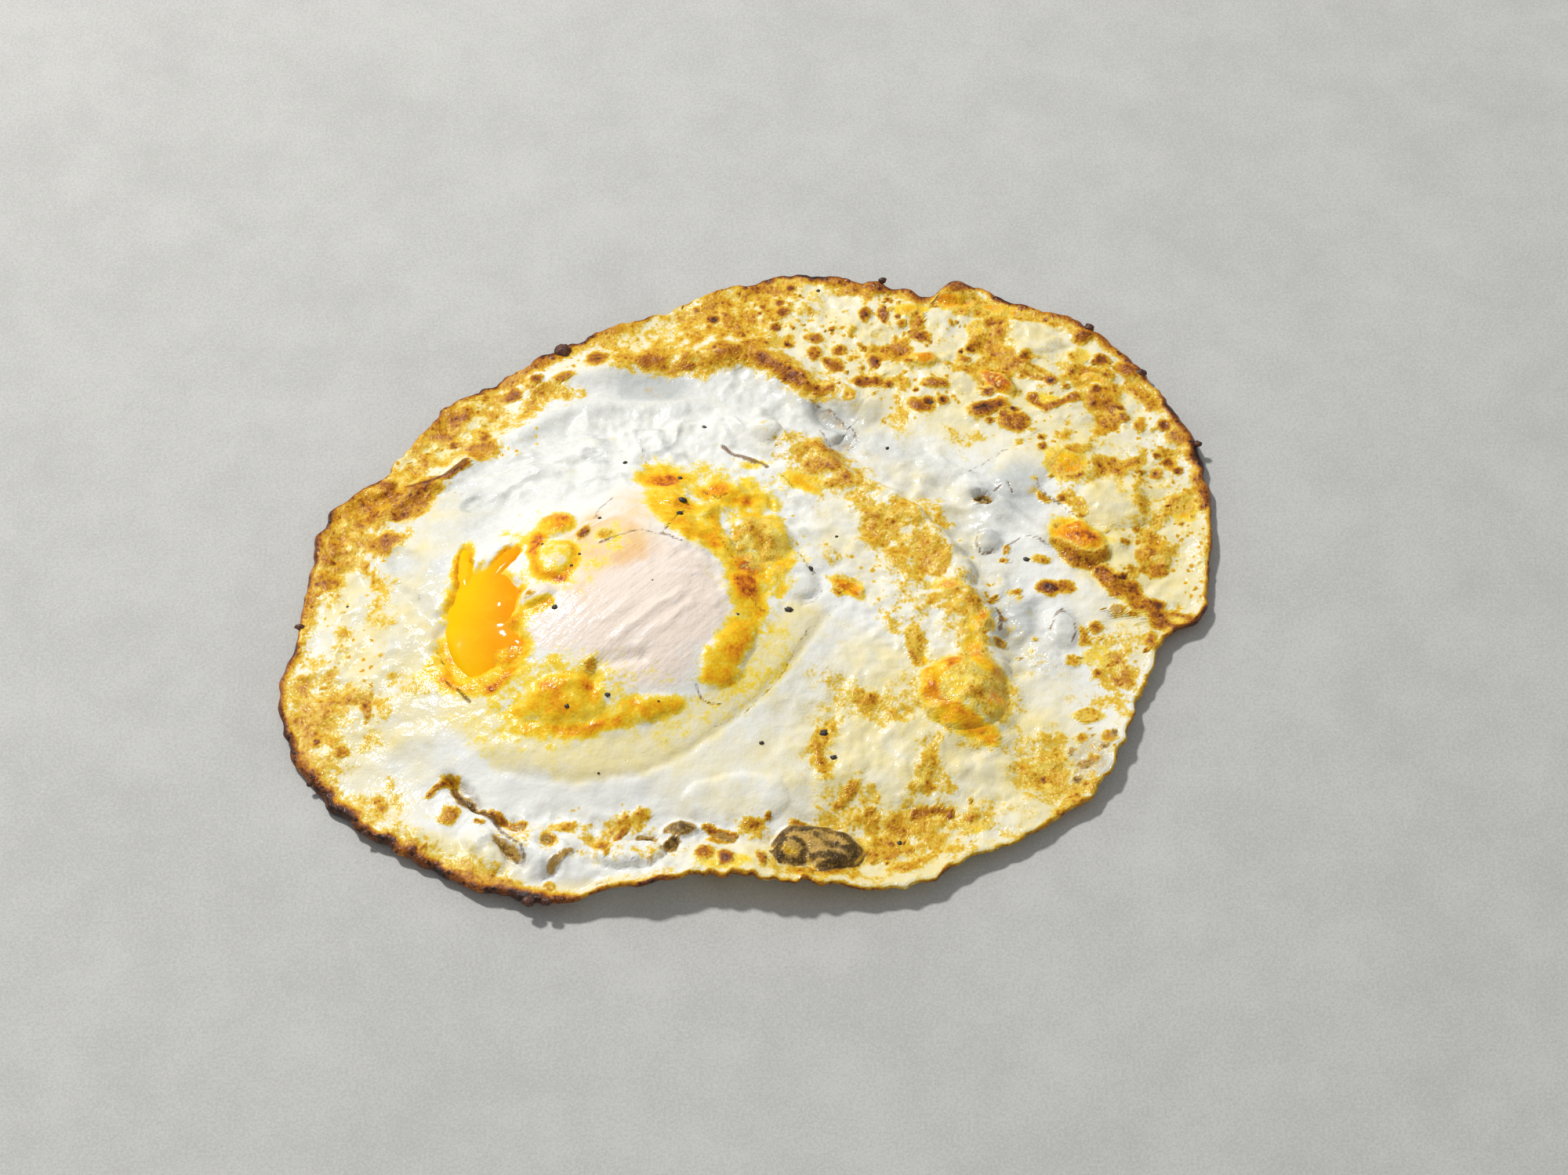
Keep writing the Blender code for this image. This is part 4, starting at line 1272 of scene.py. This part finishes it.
@dataclass(frozen=True)
class WhiteFinish:
    """Fried egg white: clear, milky or cream, browned by the fat, and wet with it."""

    milk: Colour = (246, 246, 240)
    # the grey of clear white, and also of the painted shade on the crumple ridges and in two hollows
    clear: Colour = (190, 194, 192)
    cream: Colour = (247, 231, 168)
    pink: Colour = (254, 236, 221)
    peach: Colour = (246, 200, 138)
    # painted highlight: the pale streaks laid on the film over the yolk
    painted_highlight: Colour = (255, 243, 236)
    olive: Colour = (206, 166, 84)
    # painted shade for the middles of slits, holes and the hollow under the near blister
    olive_hollow_shade: Colour = (78, 56, 20)
    crease: Colour = (128, 84, 30)

    fray: float = 1.2
    glass: float = 0.85
    fleck: float = 0.44
    crease_share: float = 0.85
    crisp_relief: float = 0.6
    film_relief: float = 0.2
    skin_relief: float = 0.2

    def material(self) -> bpy.types.Material:
        """The finish, as a material that reads the tints painted on the mesh.

        Returns:
            The finished material.
        """
        bench = WhiteBench("egg_white_fried")
        colour = self.filmed(bench, self.plain(bench))
        colour = self.toasted(bench, self.sunlit(bench, colour))
        colour = self.creased(bench, self.pierced(bench, colour))
        normal = self.relief(bench)
        return bench.finish(
            base_color=colour,
            roughness=0.5,
            specular_ior_level=0.2,
            normal=normal,
            subsurface_weight=0.12,
            subsurface_radius=(1.0, 0.8, 0.55),
            subsurface_scale=0.5 * MM,
            coat_weight=0.42,
            coat_roughness=0.1,
            coat_normal=normal,
            ior=1.4,
        )

    def plain(self, bench: WhiteBench) -> Socket:
        """Milky white, clear where it is thin, grey with painted shade along the crumple ridges and in two
        hollows, and cream coloured in places.

        Args:
            bench: the white's bench.

        Returns:
            The colour.
        """
        clear = bench.frayed(bench.tints[Tint.CLEAR], bench.loose, 1.1)
        colour = bench.blend(bench.step(clear, 0.05, 1.05, 0.0, self.glass), self.milk, self.clear)
        return bench.blend(bench.step(bench.creamy, 0.02, 1.0), colour, self.cream)

    def filmed(self, bench: WhiteBench, colour: Socket) -> Socket:
        """The streaky film over the yolk, pink or peach, with painted highlight streaks, laid on a colour.

        Args:
            bench: the white's bench.
            colour: the colour under it.

        Returns:
            The new colour.
        """
        film = bench.blend(bench.step(bench.creamy, 0.15, 0.95), self.pink, self.peach)
        # Painted highlight: pale streaks blended into the film's colour.
        film = bench.blend(bench.step(bench.streaky, 0.5, 0.66, 0.0, 0.8), film, self.painted_highlight)
        share = bench.frayed(bench.tints[Tint.BLUSH], bench.loose, 0.5)
        return bench.blend(bench.step(share, 0.05, 0.8), colour, film)

    def sunlit(self, bench: WhiteBench, colour: Socket) -> Socket:
        """The yellow and orange of the yolk, and of hot fat, laid on a colour.

        Args:
            bench: the white's bench.
            colour: the colour under it.

        Returns:
            The new colour.
        """
        sunny = bench.frayed(bench.tints[Tint.SUN], bench.loose, self.fray)
        sunny = bench.frayed(sunny, bench.pitted, -0.3)
        return bench.blend(bench.step(sunny, 0.12, 0.32), colour, bench.ramp(sunny, 0.2, 1.1, SUNNY))

    def toasted(self, bench: WhiteBench, colour: Socket) -> Socket:
        """The browning, with its golden flecks, laid on a colour.

        Args:
            bench: the white's bench.
            colour: the colour under it.

        Returns:
            The new colour.
        """
        toast = bench.frayed(bench.tints[Tint.TOAST], bench.loose, self.fray)
        toast = bench.frayed(toast, bench.pitted, 0.22)
        thick = bench.step(bench.frayed(bench.tints[Tint.FLECK], bench.patchy, 1.6), 0.25, 0.9)
        thick = bench.maths("MULTIPLY", thick, bench.step(bench.tints[Tint.SUN], 0.2, 0.45, 1.0, 0.0))
        flecks = bench.maths("MULTIPLY", bench.maths("MULTIPLY", bench.dots, thick), self.fleck)
        toast = bench.maths("MAXIMUM", toast, bench.frayed(flecks, bench.loose, 0.5))
        painted = bench.maths("MAXIMUM", bench.tints[Tint.TOAST], bench.maths("MULTIPLY", thick, 0.6))
        shown = bench.maths("MULTIPLY", bench.step(toast, 0.1, 0.28), bench.step(painted, 0.02, 0.16))
        return bench.blend(shown, colour, bench.ramp(toast, 0.12, 1.06, TOASTING))

    def pierced(self, bench: WhiteBench, colour: Socket) -> Socket:
        """The olive of slits and burst bubbles, with painted shade dark in their middles, laid on a colour.

        Args:
            bench: the white's bench.
            colour: the colour under it.

        Returns:
            The new colour.
        """
        # Painted shade: the olive turns to its deep tone where its share is strongest.
        depth = bench.step(bench.frayed(bench.tints[Tint.OLIVE], bench.loose, 1.8), 0.5, 1.12)
        tone = bench.blend(depth, self.olive, self.olive_hollow_shade)
        olive = bench.frayed(bench.tints[Tint.OLIVE], bench.loose, 0.8)
        return bench.blend(bench.step(olive, 0.25, 0.6), colour, tone)

    def creased(self, bench: WhiteBench, colour: Socket) -> Socket:
        """The thin dark lines of the creases, laid on a colour."""
        return bench.blend(bench.maths("MULTIPLY", bench.thread, self.crease_share), colour, self.crease)

    def relief(self, bench: WhiteBench) -> Socket:
        """The fine relief: crisp where it is browned, streaky on the film, and softly uneven all over.

        Args:
            bench: the white's bench.

        Returns:
            The relief, for the shader.
        """
        crisp = bench.maths("MULTIPLY", bench.tints[Tint.ROUGH], bench.ragged)
        crisp = bench.maths("SUBTRACT", crisp, bench.maths("MULTIPLY", bench.thread, 0.2))
        normal = bench.bump(crisp, self.crisp_relief)
        streaks = bench.maths("MULTIPLY", bench.streaky, bench.tints[Tint.BLUSH])
        normal = bench.bump(streaks, self.film_relief, normal)
        return bench.bump(bench.noise(1.5, 3.0, 0.6, 9.0), self.skin_relief, normal)


@dataclass(frozen=True)
class YolkFinish:
    """Soft yolk: deep orange yellow, wet and smooth."""

    light: Colour = (255, 200, 0)
    deep: Colour = (252, 160, 0)
    veil: Colour = (255, 216, 40)

    def material(self) -> bpy.types.Material:
        """The finish as a material.

        Returns:
            The finished material.
        """
        bench = Bench("egg_yolk")
        across = bench.tree.nodes.new("ShaderNodeSeparateXYZ")
        bench.give(across.inputs[0], bench.place)
        drift = bench.maths("MULTIPLY_ADD", bench.noise(6.0, 2.0, 0.5), 4.0 * MM, across.outputs["X"])
        veil = bench.noise(1.8, 3.0, 0.6, 2.0)
        colour = bench.blend(bench.step(drift, -36.5 * MM, -29.0 * MM), self.light, self.deep)
        colour = bench.blend(bench.step(veil, 0.5, 0.75, 0.0, 0.2), colour, self.veil)
        return bench.finish(
            base_color=colour,
            roughness=0.5,
            specular_ior_level=0.06,
            normal=bench.bump(veil, 0.08),
            subsurface_weight=0.15,
            subsurface_radius=(1.0, 0.5, 0.1),
            subsurface_scale=1.0 * MM,
            coat_weight=0.12,
            coat_roughness=0.08,
            ior=1.4,
        )


@dataclass(frozen=True)
class GrainFinish:
    """A dark, broken grain: pepper or burnt crust."""

    name: str
    light: Colour
    dark: Colour
    roughness: float

    def material(self) -> bpy.types.Material:
        """The finish as a material.

        Returns:
            The finished material.
        """
        bench = Bench(self.name)
        grain = bench.noise(0.3, 3.0, 0.6)
        colour = bench.blend(bench.step(grain, 0.4, 0.62), self.dark, self.light)
        return bench.finish(
            base_color=colour,
            roughness=bench.step(grain, 0.3, 0.7, self.roughness - 0.15, self.roughness + 0.15),
            normal=bench.bump(grain, 0.12),
            coat_weight=0.25,
            coat_roughness=0.3,
        )


@dataclass(frozen=True)
class TableFinish:
    """The pale, finely grained surface that the egg lies on."""

    light: Colour = (205, 205, 202)
    dark: Colour = (187, 187, 184)

    def material(self) -> bpy.types.Material:
        """The finish as a material.

        Returns:
            The finished material.
        """
        bench = Bench("pale_table")
        grain = bench.noise(0.35, 3.0, 0.7)
        drift = bench.noise(9.0, 3.0, 0.6, 4.0)
        mixed = bench.maths("ADD", bench.maths("MULTIPLY", grain, 0.7), bench.maths("MULTIPLY", drift, 0.3))
        return bench.finish(
            base_color=bench.blend(bench.step(mixed, 0.36, 0.64), self.dark, self.light),
            roughness=0.85,
            normal=bench.bump(grain, 0.05),
        )


# ---------------------------------------------------------------------------------------------------------
# The pieces


def points_of(mesh: bpy.types.Mesh) -> Array:
    """The mesh's points, one row each.

    Args:
        mesh: the mesh.

    Returns:
        An array of rows of three.
    """
    flat = np.empty(len(mesh.vertices) * 3)
    mesh.vertices.foreach_get("co", flat)
    return flat.reshape(-1, 3)


def move_points(mesh: bpy.types.Mesh, points: Array) -> None:
    """Moves the mesh's points to those places, given in millimetres."""
    mesh.vertices.foreach_set("co", (points * MM).ravel())
    mesh.update()


def mesh_from(bm: bmesh.types.BMesh, name: str) -> bpy.types.Mesh:
    """The bmesh as a named mesh, its faces pointing out.

    Args:
        bm: the bmesh, which is used up.
        name: the mesh's name.

    Returns:
        The new mesh.
    """
    bmesh.ops.recalc_face_normals(bm, faces=bm.faces)
    mesh = bpy.data.meshes.new(name)
    bm.to_mesh(mesh)
    bm.free()
    return mesh


def placed(mesh: bpy.types.Mesh, material: bpy.types.Material) -> bpy.types.Object:
    """A smooth object for the mesh, in the scene.

    Args:
        mesh: its mesh.
        material: its finish.

    Returns:
        The new object.
    """
    mesh.shade_smooth()
    mesh.materials.append(material)
    piece = bpy.data.objects.new(mesh.name, mesh)
    bpy.context.scene.collection.objects.link(piece)
    return piece


def height_at(form: EggForm, x: float, y: float) -> float:
    """How high the egg's upper side is at one point."""
    u, v = np.array([x]), np.array([y])
    return float(form.top(u, v, RIM.share(u, v))[0])


@dataclass(frozen=True)
class EggWhite:
    """The white: one uneven sheet from rim to rim, with the film over the yolk in the same skin."""

    form: EggForm
    finish: WhiteFinish = WhiteFinish()
    cells: int = 290
    insets: tuple[float, ...] = (0.0, 0.12, 0.6, 1.6, 3.2, 5.6, 8.4, 12.0)
    sink: float = 1.1
    least_thickness: float = 0.3
    under_lip: float = 0.12
    paint_drift: float = 0.4
    lace_least: float = 0.08
    lace_most: float = 0.56
    gold_share: float = 0.76
    gold_most: float = 0.64
    halo_share: float = 0.44
    heart_share: float = 0.48
    amber_clears: float = 0.8
    sun_share: float = 0.58
    ember_share: float = 0.26
    sun_most: float = 0.82
    open_warmth: float = 0.6
    # how strong and how narrow the painted shade along the crumple ridges is
    ridge_shade_share: float = 0.75
    ridge_shade_sharpness: int = 7

    def build(self) -> bpy.types.Object:
        """Makes the sheet: a fine grid drawn out to the rim, then rings under it and a flat foot.

        Returns:
            The white, painted and finished.
        """
        bm = bmesh.new()
        bmesh.ops.create_grid(bm, x_segments=self.cells, y_segments=self.cells, size=1.0)
        loop = [edge for edge in bm.edges if edge.is_boundary]
        for ring in range(1, len(self.insets)):
            made = bmesh.ops.extrude_edge_only(bm, edges=loop)["geom"]
            for vert in (item for item in made if isinstance(item, bmesh.types.BMVert)):
                vert.co.z = -ring
            loop = [item for item in made if isinstance(item, bmesh.types.BMEdge) and item.is_boundary]
        bmesh.ops.edgeloop_fill(bm, edges=loop)
        mesh = mesh_from(bm, "egg_white_sheet")
        points = points_of(mesh)
        share, angle = to_disc(points[:, 0], points[:, 1])
        ring = np.rint(-points[:, 2]).astype(int)
        way = self.form.rim_radius(angle, np.ones_like(angle))
        share = np.where(ring > 0, 1.0 - np.array(self.insets)[ring] / way, share)
        out = self.form.rim_radius(angle, share)
        x = RIM.middle[0] + out * np.cos(angle)
        y = RIM.middle[1] + out * np.sin(angle)
        under = self.form.under(x, y, share)
        top = self.form.top(x, y, share) - self.sink * self.opened(x, y)
        skin = self.form.rounded(top, under, (1.0 - share) * way)
        lift = np.where(ring == 1, self.under_lip * (skin - under), 0.0)
        height = np.where(ring > 0, under + lift, np.maximum(skin, under + self.least_thickness))
        move_points(mesh, np.stack([x, y, height], axis=1))
        self.paint(mesh, x, y, (1.0 - share) * way)
        return placed(mesh, self.finish.material())

    def opened(self, x: Array, y: Array) -> Array:
        """How far the film has drawn back from the yolk at each point."""
        return covered(OPEN_YOLK, *drifted(x, y, 2.6, 61, 0.9), 0.2)

    def paint(self, mesh: bpy.types.Mesh, x: Array, y: Array, edge: Array) -> None:
        """Paints every tint on the sheet.

        Args:
            mesh: the sheet.
            x: first coordinates of its points.
            y: second coordinates of its points.
            edge: how far each point is from the rim.
        """
        u, v = drifted(x, y, 3.0, 71, self.paint_drift)
        bare = 1.0 - covered(BARE, u, v, 0.35)
        amber = covered(AMBER, u, v, 0.6)
        laced = covered(LACE, u, v, 0.5)
        lace = laced * (self.lace_least + self.lace_most * laciness(x, y))
        toast = np.maximum(lace, self.form.freckles.stamp(x, y)[0]) * bare
        # This browning also carries the painted shade along the far fold, from the brown marks.
        toast = np.maximum(toast, self.fried(x, y, u, v)) * (1.0 - self.amber_clears * ease(0.4, 0.7, amber))
        toast = np.maximum(toast, self.burnt(x, y, edge))
        sun = self.sunlit(x, y, u, v, amber)
        olive = covered(OLIVE, u, v, 0.3)
        # Painted shade: grey lines along the crests of the crumple ridges outline its lumps, and go into the
        # clear tint.
        ridge_shade = self.ridge_shade_share * covered(WRINKLED, x, y, 0.4) * ridges(x, y, self.ridge_shade_sharpness)
        shares = {
            Tint.CLEAR: np.maximum(covered(CLEAR, u, v, 0.5), ridge_shade),
            Tint.CREAM: covered(CREAM, u, v, 0.5),
            Tint.TOAST: toast,
            Tint.OLIVE: olive,
            Tint.BLUSH: covered(BLUSH, u, v, 0.4),
            Tint.SUN: sun,
            Tint.CREASE: self.creased(u, v),
            Tint.FLECK: np.maximum(laced, covered(FLECKED, u, v, 0.5)) * bare,
            Tint.ROUGH: np.clip(1.6 * toast + olive + 0.6 * sun, 0.0, 1.0),
        }
        for tint, share in shares.items():
            layer = mesh.attributes.new(tint.value, "FLOAT", "POINT")
            layer.data.foreach_set("value", share.astype(np.float32))

    def fried(self, x: Array, y: Array, u: Array, v: Array) -> Array:
        """How browned each point is by its golden places and brown spots, with the painted shade along the
        far fold among those spots.

        Args:
            x: first coordinates.
            y: second coordinates.
            u: first coordinates, pushed about by noise.
            v: second coordinates, pushed about by noise.

        Returns:
            The share of browning.
        """
        gold = self.gold_share * covered(GOLD, u, v, 0.7) * (0.9 + 0.5 * cloud(x, y, 2.2, 74, 3))
        halo = self.halo_share * covered(BROWN, u, v, 0.95)
        heart = self.heart_share * covered(BROWN, u, v, 0.4)
        return np.maximum(np.minimum(gold, self.gold_most), halo + heart)

    def sunlit(self, x: Array, y: Array, u: Array, v: Array, amber: Array) -> Array:
        """How yellow or orange each point is, from the yolk under it or from hot fat.

        Args:
            x: first coordinates.
            y: second coordinates.
            u: first coordinates, pushed about by noise.
            v: second coordinates, pushed about by noise.
            amber: how orange the fat has fried each point.

        Returns:
            The share of sunny colour.
        """
        sun = self.sun_share * covered(SUN, u, v, 0.7) + self.ember_share * covered(EMBER, u, v, 0.8)
        sun = np.maximum(sun, amber) * (1.0 + 0.3 * cloud(x, y, 2.2, 75, 2))
        glow = covered(GLOW, u, v, 0.5) * (0.8 + 0.5 * cloud(x, y, 3.4, 76, 3))
        sun = np.maximum(np.minimum(self.sun_most, sun), glow)
        return np.maximum(sun, self.open_warmth * covered(OPEN_YOLK, u, v, 0.35))

    def creased(self, x: Array, y: Array) -> Array:
        """How near each point is to a crease, rising evenly to the crease's strength on it.

        Args:
            x: first coordinates.
            y: second coordinates.

        Returns:
            The share of crease.
        """
        near = np.zeros_like(x)
        for crease in CREASES:
            near = np.maximum(near, crease.strength * (1.0 - crease.distance(x, y) / crease.wide))
        return near

    def burnt(self, x: Array, y: Array, edge: Array) -> Array:
        """How burnt each point is: a dark line on the rim, wide in some stretches and broken in others.

        Args:
            x: first coordinates.
            y: second coordinates.
            edge: how far each point is from the rim.

        Returns:
            The share of browning.
        """
        pale, dark = covered(PALE_RIM, x, y, 0.5), covered(CHARRED, x, y, 0.5)
        width = 0.55 - 0.2 * pale + 1.1 * dark + 0.35 * cloud(x, y, 3.0, 81, 2)
        line = 1.0 - ease(0.3, 1.4, edge / np.maximum(0.1, width))
        char = line * (0.9 - 0.2 * pale + 0.25 * cloud(x, y, 4.0, 82, 2) + 0.12 * dark)
        golden = (1.0 - ease(0.6, 3.4, edge)) * (0.5 + 0.35 * cloud(x, y, 6.0, 83, 2)) * (1.0 - 0.85 * pale)
        return np.maximum(char, golden)


@dataclass(frozen=True)
class Yolk:
    """The yolk: a low dome that shows where the film over it has drawn back."""

    form: EggForm
    finish: YolkFinish = YolkFinish()
    segments: int = 180
    rings: int = 110
    radius: float = 23.4
    waist: float = 4.2
    floor: float = 1.5
    under_film: float = 1.2
    under_skin: float = 0.35
    bulge: float = 0.18

    def build(self) -> bpy.types.Object:
        """Makes the dome by pressing a sphere into shape.

        Returns:
            The yolk, finished.
        """
        bm = bmesh.new()
        bmesh.ops.create_uvsphere(bm, u_segments=self.segments, v_segments=self.rings, radius=1.0)
        mesh = mesh_from(bm, "yolk_dome")
        points = points_of(mesh)
        out = np.hypot(points[:, 0], points[:, 1])
        level = points[:, 2]
        x = YOLK_MIDDLE[0] + self.radius * points[:, 0]
        y = YOLK_MIDDLE[1] + self.radius * points[:, 1]
        share = RIM.share(x, y)
        film = self.under_film * (1.0 - covered(OPEN_YOLK, x, y, 0.6)) + self.under_skin
        bulge = self.bulge * cloud(x, y, 5.0, 91, 2)
        top = self.form.smooth_top(x, y, share) + bulge - film
        high = self.waist + (top - self.waist) * ease(1.0, 0.94, out)
        low = self.waist - (self.waist - self.floor) * np.minimum(1.0, -level / 0.5)
        move_points(mesh, np.stack([x, y, np.where(level > 0.0, high, low)], axis=1))
        return placed(mesh, self.finish.material())


@dataclass(frozen=True)
class Grains:
    """Small broken grains that lie on the egg: pepper, or crumbs of burnt crust."""

    form: EggForm
    name: str
    places: tuple[tuple[float, float, float], ...]
    finish: GrainFinish
    seed: int
    flat: float = 0.75
    sunk: float = 0.25
    rough: float = 0.3

    def build(self) -> bpy.types.Object:
        """Makes each grain from a ball and breaks its surface up.

        Returns:
            All the grains as one object.
        """
        rng = np.random.default_rng(self.seed)
        bm = bmesh.new()
        for x, y, size in self.places:
            turn = Matrix.Rotation(rng.uniform(0.0, math.tau), 4, Vector(rng.normal(size=3)).normalized())
            made = bmesh.ops.create_icosphere(bm, subdivisions=3, radius=1.0, matrix=turn)["verts"]
            wide, narrow = rng.uniform(0.9, 1.25), rng.uniform(0.7, 1.0)
            base = height_at(self.form, x, y) - size * self.sunk
            for vert in made:
                dents = noise.noise(vert.co * 1.7 + Vector((x, y, size))) + 0.5 * noise.noise(vert.co * 4.1)
                shape = vert.co * size * (1.0 + self.rough * dents)
                vert.co = Vector((x + shape.x * wide, y + shape.y * narrow, base + shape.z * self.flat))
        mesh = mesh_from(bm, self.name)
        move_points(mesh, points_of(mesh))
        return placed(mesh, self.finish.material())


# ---------------------------------------------------------------------------------------------------------
# The studio


@dataclass(frozen=True)
class Studio:
    """A pale table under one hard lamp from the upper left and soft light from all round."""

    table_half: float = 1.6
    table_drop: float = 0.00005
    finish: TableFinish = TableFinish()
    lamp_way: tuple[float, float, float] = (-0.45, 0.45, 0.82)
    lamp_distance: float = 0.8
    lamp_size: float = 0.08
    lamp_power: float = 5.1
    lamp_colour: tuple[float, float, float] = (1.0, 0.985, 0.955)
    sky: float = 0.37
    sky_colour: tuple[float, float, float, float] = (0.97, 0.985, 1.0, 1.0)
    lens: float = 85.0
    eye_target: tuple[float, float, float] = (0.0044, -0.0015, 0.0)
    eye_distance: float = 0.492
    eye_elevation: float = 55.0

    def build(self) -> None:
        """Lays the table, lights it and aims the camera."""
        self.table()
        self.light()
        self.camera()

    def table(self) -> None:
        """The surface that the egg lies on."""
        bm = bmesh.new()
        bmesh.ops.create_grid(bm, x_segments=1, y_segments=1, size=self.table_half)
        bmesh.ops.translate(bm, verts=bm.verts, vec=(0.0, 0.0, -self.table_drop))
        placed(mesh_from(bm, "pale_table"), self.finish.material())

    def light(self) -> None:
        """The lamp and the soft light."""
        lamp = bpy.data.lights.new("studio_lamp", "AREA")
        lamp.energy = self.lamp_power
        lamp.shape = "DISK"
        lamp.size = self.lamp_size
        lamp.color = self.lamp_colour
        holder = bpy.data.objects.new("studio_lamp", lamp)
        way = Vector(self.lamp_way).normalized()
        holder.matrix_world = (
            Matrix.Translation(way * self.lamp_distance) @ way.to_track_quat("Z", "Y").to_matrix().to_4x4()
        )
        bpy.context.scene.collection.objects.link(holder)
        world = bpy.data.worlds.new("soft_room")
        world.use_nodes = True
        background = world.node_tree.nodes["Background"]
        background.inputs["Color"].default_value = self.sky_colour
        background.inputs["Strength"].default_value = self.sky
        bpy.context.scene.world = world

    def camera(self) -> None:
        """The camera, above the near side of the table."""
        eye = bpy.data.cameras.new("eye")
        eye.lens = self.lens
        eye.clip_start = 0.01
        holder = bpy.data.objects.new("eye", eye)
        rise = math.radians(self.eye_elevation)
        back = Vector((0.0, -math.cos(rise), math.sin(rise)))
        holder.matrix_world = (
            Matrix.Translation(Vector(self.eye_target) + back * self.eye_distance)
            @ back.to_track_quat("Z", "Y").to_matrix().to_4x4()
        )
        bpy.context.scene.collection.objects.link(holder)
        bpy.context.scene.camera = holder


# ---------------------------------------------------------------------------------------------------------
# The whole egg


def adopt(piece: bpy.types.Object, node: str | None = None) -> None:
    """Hangs a piece under the root body, and hides the plain solid that it stands for.

    Args:
        piece: the piece.
        node: the plain solid that it stands for, if it stands for one.
    """
    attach(piece, "root")
    if node:
        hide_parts(node)
    LOG.info("%s: %d faces", piece.name, len(piece.data.polygons))


def main() -> None:
    """Builds the egg piece by piece, and the studio round it."""
    logging.basicConfig(level=logging.INFO, format="%(message)s")
    bpy.context.scene.view_settings.view_transform = "Standard"
    form = EggForm()
    adopt(EggWhite(form).build(), "egg_white")
    adopt(Yolk(form).build(), "yolk")
    pepper = GrainFinish("cracked_pepper", (74, 56, 42), (22, 16, 13), 0.6)
    adopt(Grains(form, "pepper_specks", PEPPER, pepper, 5).build())
    crust = GrainFinish("burnt_crust", (110, 56, 20), (40, 17, 8), 0.5)
    adopt(Grains(form, "crust_crumbs", CRUMBS, crust, 9).build())
    Studio().build()
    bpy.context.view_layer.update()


if __name__ == "__main__":
    main()
